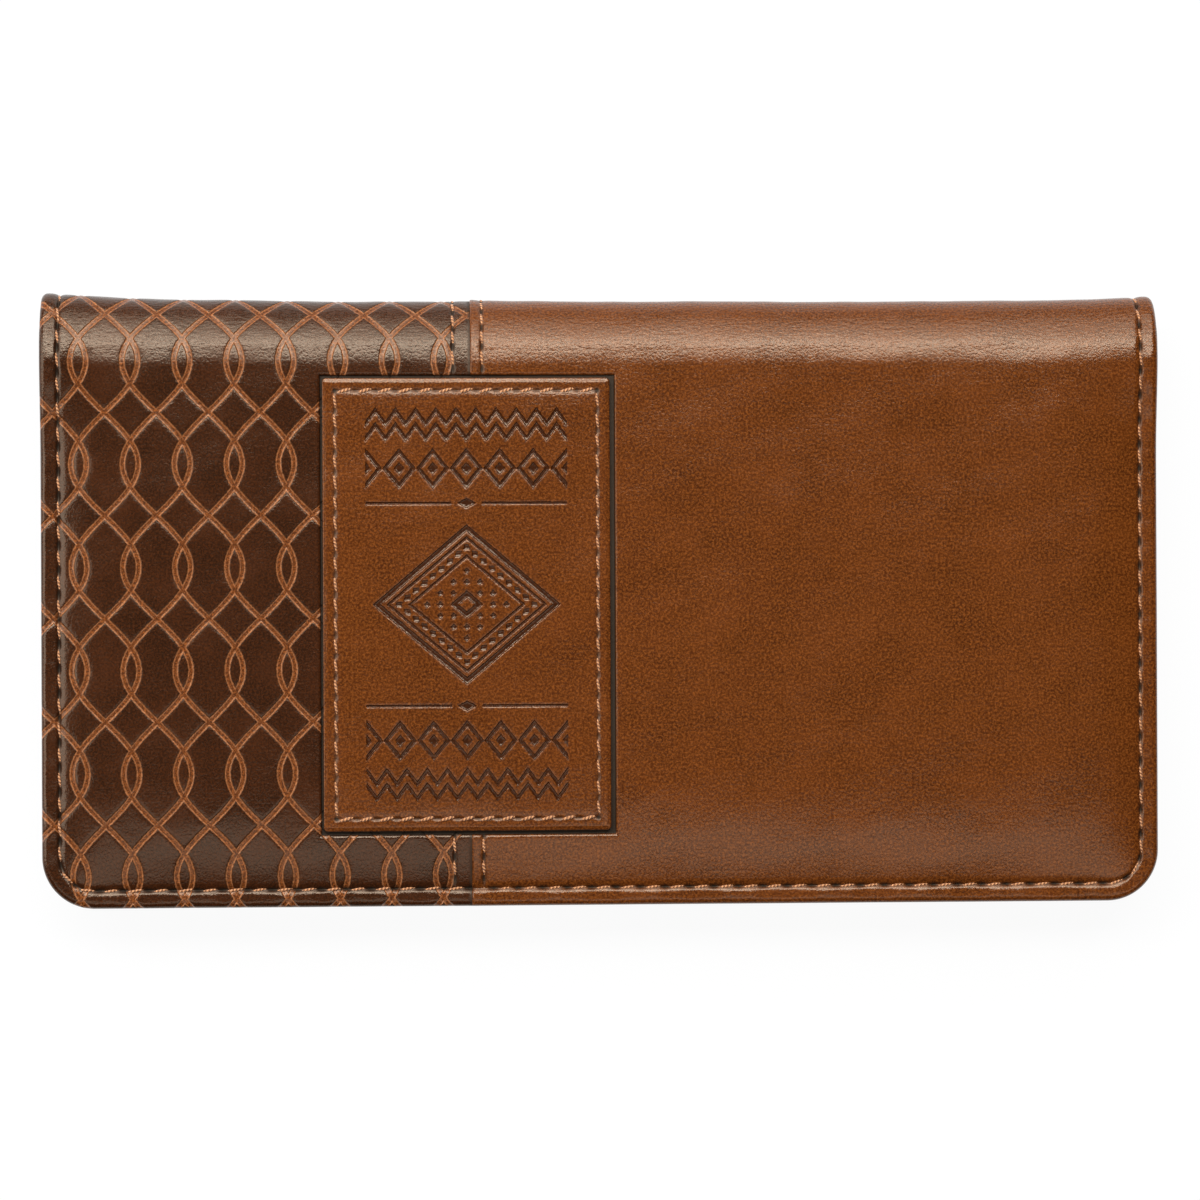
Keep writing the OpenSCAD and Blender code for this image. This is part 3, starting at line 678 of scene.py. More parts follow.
def finished(mesh, material, places_mm=None, **values):
    """The mesh as an object at the origin, with its points at these places. Each value is one
    number or three for each point, for the shader to read."""
    if places_mm is not None:
        set_points(mesh, places_mm)
    for name, value in values.items():
        value = np.array(value, float)
        kind, field = ("FLOAT", "value") if value.ndim == 1 else ("FLOAT_VECTOR", "vector")
        mesh.attributes.new(name, kind, "POINT").data.foreach_set(field, value.T.ravel())
    mesh.materials.append(material)
    mesh.polygons.foreach_set("use_smooth", [True] * len(mesh.polygons))
    piece = bpy.data.objects.new(mesh.name, mesh)
    scene.collection.objects.link(piece)
    return piece


# %% [markdown]
# ## The shape of the skins
# The leaf is crowned by its padding, the stitching pulls its edge down, and the roll swells a
# little at both ends. It could be sculpted or simulated as cloth, but one formula gives the same
# shape at every run: the height of the outside above the middle plane, or the radius on the
# roll. Skins, threads and patch all use it, so they always touch.

# %% Height of the outer face
edge_h = 5.4
swells = (
    (0.055, 0.4, 31, 1.0), (0.05, 1.3, 23, 2.1), (0.045, 2.4, 17, 0.3),
    (0.03, 0.1, 11, 4.2), (0.025, 1.9, 8, 5.0), (0.018, 2.9, 5.5, 3.3))


def past_roll(v):
    """How far out on its leaf a point lies. It is below 0 on the roll."""
    return np.abs(v - v_mid) - arc


def crown(distance):
    return 1 - (1 - np.clip((distance - 3) / 19, 0, 1)) ** 3


def waves(x, v):
    """Low swells that hand-made goods have, of (size, angle, wave, phase)."""
    total = 0
    for size, angle, wave, phase in swells:
        way = x * math.cos(angle) + v * math.sin(angle)
        total = total + size * np.sin(way * 2 * math.pi / wave + phase)
    return total


def rested(height, v):
    """The back leaf is pressed flat where it lies."""
    down = np.sin(np.clip((v - v_mid) / roll_r, 0.3, math.pi / 2))
    return np.where(v > v_mid + 2, np.minimum(height, roll_r / down), height)


def outer_height(x, v):
    """Height of the outside without stitches or recess."""
    beyond = past_roll(v)
    rise = np.where(beyond > 0, smooth_rise((16 - beyond) / 16), 1.0)
    from_left, from_right = x + half_x, half_x - x
    from_side = np.minimum(from_left, from_right)
    swell = crown(from_side) * crown(leaf - beyond)
    height = edge_h + (roll_r - edge_h) * (rise + (1 - rise) * swell)
    turn = np.clip((v_mid - v) / roll_r, -math.pi / 2, math.pi / 2)
    flare = 1.35 * np.exp(-np.maximum(from_left, 0) / 17)
    flare = flare + 0.7 * np.exp(-np.maximum(from_right, 0) / 11)
    calm = np.clip(from_side / 12, 0.3, 1) * 0.6
    slack = np.clip(1 - ((beyond + 3.3) / 6) ** 2, 0, 1) ** 2 * 0.5
    return rested(height - slack + flare * np.cos(turn) ** 2 + waves(x, v) * calm, v)


def inner_height(v):
    """Height of the lining's face, which climbs where the leaf runs into the roll."""
    return hem_h + 2.0 * smooth_rise((3 - past_roll(v)) / 3)


def put(x, v, height):
    """The place in space of a point of the sheet at a height over the middle plane."""
    beyond = past_roll(v)
    turn = (v_mid - v) / roll_r
    y = np.where(beyond <= 0, spine_y + height * np.cos(turn), spine_y - beyond)
    z = np.where(beyond <= 0, height * np.sin(turn), np.sign(v_mid - v) * height)
    return x, y, roll_r + z


print(f"the leaf's middle is {float(outer_height(20.0, 0.0)):.2f} mm over the middle plane")

# %% [markdown]
# Stitching runs along the edge and on both sides of the seam. Each point of a skin can tell how
# far along such a row it lies, counted in stitches. The needle holes are then where the count is
# whole. They could be placed by hand, but so the dimples and the threads meet by themselves.

# %% Along the rows of stitches
stitch_in = 2.6
bend_r = corner_r - stitch_in
edge_path = (leaf - corner_r, bend_r * math.pi / 2, 2 * half_x - 2 * corner_r)
edge_length = 2 * edge_path[0] + 2 * edge_path[1] + edge_path[2]
edge_count = round(edge_length / 3.55)
edge_pitch = edge_length / edge_count
roll_pitch = 2 * arc / 6
seam_pitch = 3.2
seam_on_roll = 7
seam_roll_pitch = 2 * arc / seam_on_roll
seam_rows = (-21.6, -17.4)


def edge_run(x, v):
    """Where a point near the rim is along the edge stitching, counted in stitches."""
    beyond = past_roll(v)
    y = spine_y - beyond
    down, bend, _ = edge_path
    aside = half_x - corner_r - np.abs(x)
    below = (fore_y + corner_r) - y
    angle = np.arctan2(np.maximum(below, 0), np.maximum(-aside, 1e-6))
    on_bend_or_fore = np.where(aside <= 0, down + bend_r * angle, down + bend + aside)
    run = np.where(below <= 0, spine_y - y, on_bend_or_fore)
    run = np.where(x < 0, run, edge_length - run) / edge_pitch
    return np.where(beyond > 0, run, beyond / roll_pitch)


def seam_run(v):
    past_spine, past_back = v - spine_y, v - spine_y - 2 * arc
    rest = np.where(v < spine_y + 2 * arc, past_spine / seam_roll_pitch, past_back / seam_pitch)
    return np.where(v < spine_y, past_spine / seam_pitch, rest)


print(f"edge stitching: {edge_length:.0f} mm in {edge_count} stitches of {edge_pitch:.2f} mm")

# %% [markdown]
# The thread draws the leather in: a shallow trough along the row, with a deeper dimple at each
# needle hole. The patch lies in a pressed recess with a narrow sloping wall. Sculpting them
# would take many strokes, and each is only a function of a distance, so that is what they are.

# %% Troughs, dimples and the recess
patch_x, patch_y, _ = zip(*box_mm("patch"))
recess_depth = 0.5
press_depth = 0.11
recess_x = (patch_x[0] - 0.35, patch_x[1] + 0.70)
recess_y = (patch_y[0] - 0.55, patch_y[1] + 0.40)


def bell(distance, width):
    return np.exp(-(distance / width) ** 2)


def row_dip(distance, run, deep=1.0):
    """How far stitching pulls the surface in, and how much painted shade darkens its holes and
    trough.
    """
    hole = (0.5 + 0.5 * np.cos(2 * math.pi * run)) ** 3
    pull = 0.15 * bell(distance, 0.55) + 0.10 * bell(distance, 0.22)
    pull = pull + 0.34 * hole * bell(distance, 0.24)
    return deep * pull, hole * bell(distance, 0.27) + 0.18 * bell(distance, 0.35)


def recess(x, y, is_front):
    """How much the pressed recess round the patch lowers the skin, and its inner side."""
    out_x = np.maximum(recess_x[0] - x, x - recess_x[1])
    out_y = np.maximum(recess_y[0] - y, y - recess_y[1])
    out = np.maximum(out_x, out_y)
    low = np.interp(out, [-0.02, 0.06, 0.12, 0.40, 0.60], [recess_depth, 0.17, 0.11, 0.014, 0.0])
    inside = np.interp(out, [-0.02, 0.10], [1.0, 0.0])
    return np.where(is_front, low, 0.0), np.where(is_front, inside, 0.0)


print(f"recess {recess_x[1] - recess_x[0]:.1f} by {recess_y[1] - recess_y[0]:.1f} mm")

# %% [markdown]
# ## The skins
# A skin takes all of this together: the crowned height, less the troughs and the recess, less
# the pressed trellis on the patterned part. The plain skin is folded at the seam and lies on the
# patterned one, so it starts a little higher there. A displacement map could do the fine part,
# but here it is real geometry, which stays when the mesh is exported.

# %% Places of a skin's points
def skin_places(grid, drop, plain):
    """Places of a skin's points, and how much painted shade darkens each."""
    x, v = grid.x, grid.y
    beyond = past_roll(v)
    is_front = (v < v_mid) & (beyond > 0)
    from_side = np.minimum(half_x - np.abs(x), np.where(beyond > 0, leaf - beyond, no_edge))
    edge = np.minimum(grid.inset, from_side)
    run = edge_run(x, v)
    dip, dark = row_dip(edge - stitch_in, run)
    flange = bell(edge - 1.5, 0.7)
    top = outer_height(x, v) - dip + flange * 0.03 * np.cos(2 * math.pi * (run - 0.5))
    top = top + flange * 0.05 * np.sin(run * 1.7)
    hollow, inside = recess(x, np.where(is_front, v, 0), is_front)
    for row in seam_rows:
        pulled, holes = row_dip(x - row, seam_run(v), 0.6)
        keep = (1 - inside) * smooth_rise((edge - 2.2) / 1.2)
        top = top - pulled * keep
        dark = dark + holes * keep
    if plain:
        top = top + 0.25 * np.exp(-(x - seam_x) / 5) * (1 - inside)
    else:
        gap = np.asarray(trellis(x.view(Numbers), v.view(Numbers)).step(0.12, line_half + 0.2))
        top = top - press_depth * (1 - gap) * (1 - inside)
        # A painted shadow beside the step where the plain skin lies over the patterned one.
        dark = dark + 0.8 * bell(x - seam_x, 0.30) * (1 - inside)
    top = rested(top, v) - hollow - drop
    height = grid.share * top + (1 - grid.share) * inner_height(v) + grid.offset
    # The recess round the patch is painted in full shade.
    return put(x, v, height), np.clip(dark + inside, 0, 1)


# %% [markdown]
# A skin that crosses the hinges of the roll is cut there into regions. The cuts share their
# points, so they don't show. One whole skin could only bend over one hinge, and the real roll
# bends all along.

# %% Regions of the sheet
cut_front, cut_back = v_mid - roll_r * math.pi / 3, v_mid + roll_r * math.pi / 3
# Each region: first and last v, and whether the rim closes its low end and its high end.
regions = {
    "front": (fore_y, cut_front, True, False),
    "upper": (cut_front, v_mid, False, False),
    "lower": (v_mid, cut_back, False, False),
    "back": (cut_back, v_end, False, True),
}
region_nodes = {
    "front": ["front_{}"], "upper": ["spine_upper_{}", "spine_middle_{}"],
    "lower": ["spine_lower_{}"], "back": ["back_{}"],
}
# From back to front: the bodies, and in metres the places where one turns into the next.
bodies = ("back_leaf", "spine_lower", "spine_middle", "spine_upper", "front_leaf")
bend_points = (
    (0, 0.0326, 0.0), (0, 0.0398, 0.00094), (0, 0.0433, 0.007), (0, 0.0398, 0.01306),
    (0, 0.0326, 0.014))
bends = {
    region: (bodies[n], bodies[n + 1], bend_points[n], bend_points[n + 1])
    for n, region in enumerate(("back", "lower", "upper", "front"))}


def nodes_of(region, name):
    return [node.format(name) for node in region_nodes[region]]


def region_rows(region, rings, step, inset=0.0, fine=()):
    start, end, low_rings, high_rings = regions[region]
    low, high = start + inset * low_rings, end - inset * high_rings
    return ringed(low, high, rings, step, low_rings, high_rings, fine)


def dressed(piece, carrier, nodes):
    """Attaches the piece to the body that carries it, or for a region of the sheet bakes its place
    into the mesh, and hides the CAD nodes that it stands for."""
    if carrier in bends:
        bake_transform(piece)
    else:
        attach(piece, carrier)
    if nodes:
        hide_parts(*nodes)
    return piece


print("regions:", ", ".join(regions))

# %% [markdown]
# The rim of a skin goes from the turned hem on the inside, round the edge, to the top, as a list
# of rings. The rings lie close together at the stitching, and so do the inner lines at the seam
# and at the walls of the recess. Fine rows everywhere would make the mesh several times bigger.

# %% Skins
rim = [(1.2, 0, 0.5), (1.2, 0, 0), (0.8, 0, 0), (0.4, 0, 0)]
rim += [(0.117, 0, 0.117), (0, 0, 0.4), (0, 0.5, -0.25)] + quarter_round(0, 1, 0, 0.9)
rim += level_rings((
    1.15, 1.4, 1.65, 1.85, 2.02, 2.17, 2.29, 2.39, 2.47, 2.54, 2.6, 2.66, 2.73, 2.81, 2.91, 3.03,
    3.2, 3.4, 3.65, 3.95, 4.3, 4.7, 5.1, 5.5, 5.95, 6.4, 6.9, 7.4, 7.9, 8.4, 9.0))
turned_edge = ((0.35, 0.5), (0.08, 0.36), (0, 0.22), (0.08, 0.08), (0.25, 0.0))
# Grid steps in millimetres. The trellis needs the finer one.
skin_step = {"patterned": 0.29, "plain": 0.42}
seam_fine = [(row, 0.6, 0.09) for row in seam_rows]
edges_x = [(at, 0.8, 0.08) for at in recess_x]
edges_y = [(at, 0.8, 0.08) for at in recess_y]


def skin_columns(kind, fine):
    """The patterned skin runs under the seam. The plain one ends there in a turned edge."""
    if kind == "patterned":
        return ringed(-half_x, seam_x + 0.4, rim, skin_step[kind], True, False, fine)
    inner = spaced(seam_x + 0.45, half_x - rim[-1][0], skin_step[kind], fine)[:-1]
    inner = [seam_x + out for out, _ in turned_edge] + inner
    columns = Lines(0, half_x, inner, rim, False, True)
    columns.drop[:len(turned_edge)] = [down for _, down in turned_edge]
    return columns


def skin_piece(kind, region):
    on_front = region == "front"
    columns = skin_columns(kind, seam_fine + edges_x * on_front)
    rows = region_rows(region, rim, skin_step[kind], fine=edges_y * on_front)
    grid = Grid(f"{kind}_skin_{region}", columns, rows, rim, corner_r)
    places, dark = skin_places(grid, columns.drop[grid.i], kind == "plain")
    flat_place = (grid.x, grid.y, (1 - grid.share) * 3)
    material = patterned if kind == "patterned" else cognac
    piece = finished(grid.mesh, material, places, flat_place=flat_place, press=dark)
    return dressed(piece, region, nodes_of(region, f"skin_{kind}"))


skins = {kind: {region: skin_piece(kind, region) for region in regions} for kind in skin_step}
for pieces in skins.values():
    for piece in pieces.values():
        print(piece.name, len(piece.data.polygons) * 2, "triangles")

# %% [markdown]
# ## Stitches
# A stitch is a short thread that comes up through one needle hole and goes down the next. It
# could be drawn in the shader, but real thread stands up and catches the light. Each one is a
# small stretched sphere, bent so that its ends dive into the leather, and mapped through the
# same height formula as the skin beneath it.

# %% How a row is sewn
ball_gap = 4


def on_sheet(x, v, height):
    return put(x, v, rested(height, v))


def level(base, sign=1):
    """Places over a level plane, or under it."""
    return lambda x, y, height: (x, y, base + sign * height)


def sewn(name, stitches, size, height_at, carrier, nodes, place=on_sheet):
    """Stitches of (x, v, direction x, direction v) as one mesh. The size is length, width (one,
    or one for each), lift and sag. height_at is a formula or one height."""
    length, width, lift, sag = size
    builder = bmesh.new()
    for n in range(len(stitches)):
        shift = Matrix.Translation((0, 0, ball_gap * n))
        bmesh.ops.create_uvsphere(builder, u_segments=8, v_segments=8, radius=1.0, matrix=shift)
    mesh = built(builder, bpy.data.meshes.new(name))
    across, up, along = points_of(mesh).T
    number = np.rint(along / ball_gap).astype(int)
    along = along - ball_gap * number
    cx, cv, dx, dv = np.array(stitches, float)[number].T
    width = np.broadcast_to(width, len(stitches))[number]
    rope_along = along * length / 2
    rope_across = across * width / 2 * (1 - 0.25 * along ** 2)
    middle_x, middle_v = cx + rope_along * dx, cv + rope_along * dv
    middle = height_at(middle_x, middle_v) if callable(height_at) else height_at
    height = middle + lift + up * width * 0.36 - sag * np.abs(along) ** 2.6
    places = place(middle_x + rope_across * dv, middle_v - rope_across * dx, height)
    thread_place = (rope_along, rope_across, number * 1.9)
    dressed(finished(mesh, thread, places, thread_place=thread_place), carrier, nodes)


def slanted(x, v, dx, dv, slant=0.16):
    """Turns a stitch a little, as a lock stitch lies."""
    c, s = math.cos(slant), math.sin(slant)
    return (x, v, dx * c - dv * s, dx * s + dv * c)


def straight_row(width, y):
    """Stitches side by side along x, centred."""
    count = int(width / edge_pitch)
    return [slanted((n - count / 2) * edge_pitch, y, 1.0, 0.0) for n in range(count + 1)]


print("stitches on a hem of 30 mm:", len(straight_row(30, 0)))

# %% [markdown]
# The edge stitching runs down one side, round the corners and along the fore edge, and crosses
# the ends of the roll to the other leaf. The seam has a row on each side, which stops where the
# patch lies over it. Both could be a modifier's array along a curve; a loop over the counted
# stitches is shorter, and keeps them on the dimples that the skins already have.

# %% Edge and seam stitches
def edge_place(run):
    """A place on the leaf's edge stitching and its direction, for the front leaf."""
    down, bend, _ = edge_path
    way, side = (run, -1) if run < edge_length / 2 else (edge_length - run, 1)
    if way < down:
        x, y, dx, dy = half_x - stitch_in, spine_y - way, 0.0, -1.0
    elif way < down + bend:
        a = (way - down) / bend_r
        x, y = half_x - corner_r + bend_r * math.cos(a), fore_y + corner_r - bend_r * math.sin(a)
        dx, dy = -math.sin(a), -math.cos(a)
    else:
        x, y, dx, dy = half_x - corner_r - (way - down - bend), fore_y + stitch_in, -1.0, 0.0
    return side * x, y, -dx, -side * dy


def seam_v(n):
    """The middle of seam stitch n, counted from the spine over the roll and down the back."""
    if n < 0:
        return spine_y + (n + 0.5) * seam_pitch
    if n < seam_on_roll:
        return spine_y + (n + 0.5) * seam_roll_pitch
    return spine_y + 2 * arc + (n - seam_on_roll + 0.5) * seam_pitch


def rim_height(x, v):
    return outer_height(x, v) - 0.25


def seam_height(x, v):
    return outer_height(x, v) - 0.15 + np.where(x > seam_x, 0.18, 0.0)


edge_stitches = {region: [] for region in regions}
for n in range(edge_count):
    x, y, dx, dy = edge_place((n + 0.5) * edge_pitch)
    edge_stitches["front"].append(slanted(x, y, dx, dy))
    edge_stitches["back"].append(slanted(x, 2 * v_mid - y, dx, -dy))
for side in (-1, 1):
    for n, region in enumerate(("front", "upper", "upper", "lower", "lower", "back")):
        v = spine_y + (n + 0.5) * roll_pitch
        edge_stitches[region].append(slanted(side * (half_x - stitch_in), v, 0.0, 1.0))
for region, stitches in edge_stitches.items():
    nodes = nodes_of(region, "edge_thread" if region in ("front", "back") else "thread")
    sewn(f"edge_stitches_{region}", stitches, (2.9, 0.38, 0.05, 0.40), rim_height, region, nodes)
print("edge stitches:", sum(len(s) for s in edge_stitches.values()))

seam_stitches = {region: [] for region in regions}
for row in seam_rows:
    for v in map(seam_v, range(-24, 32)):
        under_patch = recess_y[0] - 0.9 < v < recess_y[1] + 0.9
        if fore_y + 4 < v < v_end - 4 and not under_patch:
            region = next(name for name, (_, end, _, _) in regions.items() if v < end)
            seam_stitches[region].append(slanted(row, v, 0.0, 1.0, 0.1))
for region, stitches in seam_stitches.items():
    nodes = nodes_of(region, "seam_thread") if region in ("front", "back") else []
    sewn(f"seam_stitches_{region}", stitches, (2.6, 0.42, 0.06, 0.36), seam_height, region, nodes)
print("seam stitches:", sum(len(s) for s in seam_stitches.values()))

# %% [markdown]
# ## Patch
# The patch is a cut piece of cognac leather with pressed, rounded edges. It lies in the recess
# and follows the crown of the leaf. It could be a raised part of the skins' grid, but as a piece
# of its own it has a real edge with a shadow beneath. Its stitching runs all round.

# %% Patch
patch_in = 1.8
patch_shift = 300.0
patch_rim = [(0.06, 1, -0.98), (0.0, 1, -0.65), (0.0, 1, -0.30)]
for n in range(1, 5):
    a = math.radians(19 * n)
    patch_rim.append((0.20 * (1 - math.cos(a)), 1, -0.30 + 0.20 * math.sin(a)))
patch_rim += [(0.30, 1, -0.085), (0.42, 1, -0.05), (0.54, 1, -0.018), (0.62, 1, 0)]
patch_rim += level_rings((
    0.75, 1.0, 1.2, 1.4, 1.52, 1.61, 1.69, 1.75, 1.8, 1.85, 1.91, 1.99, 2.1, 2.25, 2.45, 2.7,
    3.0))


def patch_pitch(low, high):
    """How many stitches a side of the patch has, and how long each is."""
    length = (high - low) - 2 * patch_in
    count = round(length / 2.9)
    return count, length / count


def patch_top(x, v):
    return outer_height(x, v) + 0.5


def patch_piece():
    columns, rows = ringed(*patch_x, patch_rim, 0.19), ringed(*patch_y, patch_rim, 0.19)
    grid = Grid("sewn_patch", columns, rows, patch_rim, 0.6)
    x, y = grid.x, grid.y
    edge_x = np.minimum(x - patch_x[0], patch_x[1] - x)
    edge_y = np.minimum(y - patch_y[0], patch_y[1] - y)
    dip_x, dark_x = row_dip(edge_x - patch_in, (y - patch_y[0] - patch_in) / pitch_y, 0.35)
    dip_y, dark_y = row_dip(edge_y - patch_in, (x - patch_x[0] - patch_in) / pitch_x, 0.35)
    keep_x = smooth_rise((edge_y - patch_in + 0.6) / 0.6)
    keep_y = smooth_rise((edge_x - patch_in + 0.6) / 0.6)
    middle_x, middle_y = sum(patch_x) / 2, sum(patch_y) / 2
    marks = ornament((x - middle_x).view(Numbers), (y - middle_y).view(Numbers))
    dip = np.maximum(dip_x * keep_x, dip_y * keep_y)
    height = patch_top(x, y) + grid.offset - dip - press_depth * np.asarray(marks)
    # Painted shade in the needle holes and troughs of the patch's stitching.
    press = np.clip(0.6 * (dark_x * keep_x + dark_y * keep_y), 0, 1)
    material = patch_leather("patch_leather", middle_x + patch_shift, middle_y)
    flat_place = (x + patch_shift, y, 0 * x)
    piece = finished(grid.mesh, material, put(x, y, height), flat_place=flat_place, press=press)
    return dressed(piece, "front_leaf", ["patch"])


(count_x, pitch_x), (count_y, pitch_y) = patch_pitch(*patch_x), patch_pitch(*patch_y)
patch = patch_piece()
print("patch:", len(patch.data.polygons) * 2, "triangles")

# %% [markdown]
# The patch's stitching lies close to its edge, all round. In the photograph the thread looks
# thinner on the two sides than at the top and bottom, and so it is here. The stitches could be
# copies of one, but they are made in one go like the others, and follow the crown of the patch.

# %% Patch stitches
low_x, high_x = patch_x[0] + patch_in, patch_x[1] - patch_in
low_y, high_y = patch_y[0] + patch_in, patch_y[1] - patch_in
stitches = [
    slanted(x, low_y + (n + 0.5) * pitch_y, 0.0, 1.0)
    for n in range(count_y) for x in (low_x, high_x)]
stitches += [
    slanted(low_x + (n + 0.5) * pitch_x, y, 1.0, 0.0, 0.26)
    for n in range(count_x) for y in (low_y, high_y)]
widths = [0.38] * 2 * count_y + [0.50] * 2 * count_x
sewn(
    "patch_stitches", stitches, (2.6, widths, 0.06, 0.36), lambda x, v: patch_top(x, v) - 0.07,
    "front_leaf", ["patch_thread"])
print("patch stitches:", len(stitches))

# %% [markdown]
# ## Lining
# A plain weave: threads along and across that pass over and under each other in turn. Modelled
# thread by thread it would be millions of faces for a cloth that is seen from afar, so the
# shader makes it from two sines, one for each direction, and a noise for the thicker threads.

# %% Woven cloth
def woven(name, dark, light, pitch, depth):
    """Each thread rises and dips in turn over the ones that cross it."""
    finish = Finish(name, Specular_IOR_Level=0.25, Sheen_Weight=0.15)
    place = finish.stored("flat_place")["Vector"]
    x, y, _ = finish.parts(place)
    turn = math.pi / pitch
    over = (x * turn).sin() * (y * turn).sin()
    warp = abs((x * turn).cos()) * over.step(-0.35, 0.35)
    weft = abs((y * turn).cos()) * (1 - over.step(-0.35, 0.35))
    thread_height = warp.most(weft)
    slubs = finish.noise(finish.stretch(place, 0.3, 3.0, 1.0), 0.9, 3.0, 0.6)
    # Where a thread dips under the crossing ones it takes the dark colour: painted shade.
    colour = finish.mix(thread_height.step(0.1, 0.9), dark, light)
    colour = finish.mix(slubs.step(0.35, 0.7) * 0.3, colour, dark)
    return finish.show(colour, 0.78, thread_height * depth + slubs * 0.05)


lining_cloth = woven("brown_lining", shade(44, 27, 18), shade(92, 60, 42), 0.42, 0.09)
print("lining cloth:", len(lining_cloth.node_tree.nodes), "nodes")

# %% [markdown]
# The lining is one woven sheet that covers the inside of both leaves and bridges the roll. Its
# edges lie under the turned hem of the skins. It is cut at the strips in the same way as the
# skins, made as a single sheet facing inwards, and given its thickness with Solidify, which is
# simpler than a second grid for its other face.

# %% Lining pieces
lining_in = box_mm("front_lining")[0][1] - fore_y
soft_rim = level_rings((0.0, 0.4, 0.9, 1.6, 2.6, 4.0, 5.6, 7.0), share=0)


def turn_over(mesh):
    builder = bmesh.new()
    builder.from_mesh(mesh)
    bmesh.ops.reverse_faces(builder, faces=builder.faces)
    built(builder, mesh)


def thickened(piece, thickness, offset):
    """A live Solidify, in millimetres."""
    wall = piece.modifiers.new("wall", "SOLIDIFY")
    wall.thickness, wall.offset = thickness * MM, offset
    return piece


def lining_piece(region):
    half = half_x - lining_in
    columns = ringed(-half, half, soft_rim, 2.0)
    rows = region_rows(region, soft_rim, 0.7, lining_in)
    grid = Grid(f"lining_{region}", columns, rows, soft_rim, corner_r - lining_in)
    turn_over(grid.mesh)
    places = put(grid.x, grid.y, inner_height(grid.y) + 0.02)
    piece = finished(grid.mesh, lining_cloth, places, flat_place=(grid.x, grid.y, 0 * grid.x))
    return dressed(thickened(piece, 0.4, -1), region, nodes_of(region, "lining"))


def stretched(pieces, width, length):
    for side, roll_side in (("front", "upper"), ("back", "lower")):
        width * MM
        length * MM


linings = {region: lining_piece(region) for region in regions}
lining_w = 2 * (half_x - lining_in)
lining_l = leaf + arc - lining_in
stretched(linings, lining_w, lining_l)
print(f"lining {lining_w:.0f} by {2 * lining_l:.0f} mm")

# %% [markdown]
# ## Foam and board
# Between skin and lining lie a stiff board and a sheet of foam. The foam is what crowns the
# leaf, so its upper face follows the skin. A grid gives that face; its border is then pulled
# down to the board and closed, which makes a solid pad. The boards keep their CAD shape. Both
# finishes are read from the place in space, as if cut out of a block, because they really are.

# %% Foam and board finishes
def foam_finish(name):
    finish = Finish(name, Specular_IOR_Level=0.2)
    place = finish.object_mm()
    bubbles = finish.cells(place, 1.4).step(0.1, 0.7)
    fine = finish.noise(place, 3.0, 3.0)
    colour = finish.mix(bubbles, shade(196, 184, 154), shade(236, 228, 206))
    return finish.show(colour, 0.95, bubbles * 0.2 + fine * 0.1)


def board_finish(name):
    finish = Finish(name, Specular_IOR_Level=0.3)
    place = finish.object_mm()
    fibres = finish.noise(finish.stretch(place, 0.35, 1.6, 1.0), 1.2, 5.0, 0.7)
    flecks = finish.noise(place, 2.0, 2.0, 0.7).step(0.62, 0.7)
    colour = finish.mix(fibres.step(0.3, 0.7), shade(138, 124, 100), shade(184, 170, 142))
    colour = finish.mix(flecks * 0.5, colour, shade(96, 84, 66))
    return finish.show(colour, 0.85, fibres * 0.12)


foam = foam_finish("soft_foam")
board = board_finish("pressed_board")
for node in ("front_board", "back_board"):
    for material_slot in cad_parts[node].material_slots:
        material_slot.material = board
print("finishes:", len(bpy.data.materials))

# %% [markdown]
# The pad follows the skin on one side and is flat on the other. Solidify would give it the same
# thickness everywhere, so its border is drawn down to the board instead. Over the foam the skins
# are stretched: their flat width, with a strip for the turned hem, is worked out and printed here.

# %% Foam pads
board_h = box_mm("front_board")[1][2] - roll_r
pad_bottom = board_h + 0.02
skin_t = 1.15


def borders(builder):
    return [edge for edge in builder.edges if edge.is_boundary]


def foam_pad(side, sign, ceiling):
    """sign is 1 above the middle plane and -1 below it; nothing rises over the ceiling."""
    low, high = box_mm(f"{side}_padding")
    columns, rows = ringed(low[0], high[0], soft_rim, 2.5), ringed(low[1], high[1], soft_rim, 2.0)
    grid = Grid(f"{side}_foam", columns, rows, soft_rim, 2.0)
    v = grid.y if sign > 0 else 2 * v_mid - grid.y
    top = np.minimum(outer_height(grid.x, v) - skin_t, ceiling)
    rounding = np.sqrt(np.clip(grid.inset / 1.2 + 0.15, 0, 1))
    top = pad_bottom + np.maximum(top - pad_bottom, 0.15) * rounding
    set_points(grid.mesh, put(grid.x, v, top))
    builder = bmesh.new()
    builder.from_mesh(grid.mesh)
    for part in bmesh.ops.extrude_edge_only(builder, edges=borders(builder))["geom"]:
        if isinstance(part, bmesh.types.BMVert):
            part.co.z = (roll_r + sign * pad_bottom) * MM
    bmesh.ops.holes_fill(builder, edges=borders(builder), sides=0)
    bmesh.ops.recalc_face_normals(builder, faces=builder.faces)
    piece = finished(built(builder, grid.mesh), foam)
    dressed(piece, f"{side}_leaf", [f"{side}_padding"])
    print(piece.name, len(grid.mesh.polygons), "faces")


foam_pad("front", 1, box_mm("front_padding")[1][2] - roll_r)
foam_pad("back", -1, math.inf)
hem_turn = 2.6
for kind, width in (("patterned", seam_x + half_x), ("plain", half_x - seam_x)):
    stretched(skins[kind], width + hem_turn, leaf + arc + hem_turn)
    print(f"{kind} skin cut {width + hem_turn:.1f} mm wide")

# %% [markdown]
# ## Pockets
# Each pocket is a thin leather panel whose border is sewn flat to the lining. It rises from that
# border in a soft wall, so that a check pad or a register has room, and its mouth towards the
# spine has a turned hem. The rings of the grid carry this profile round the corners, which a
# plain extruded panel couldn't do without a crease.

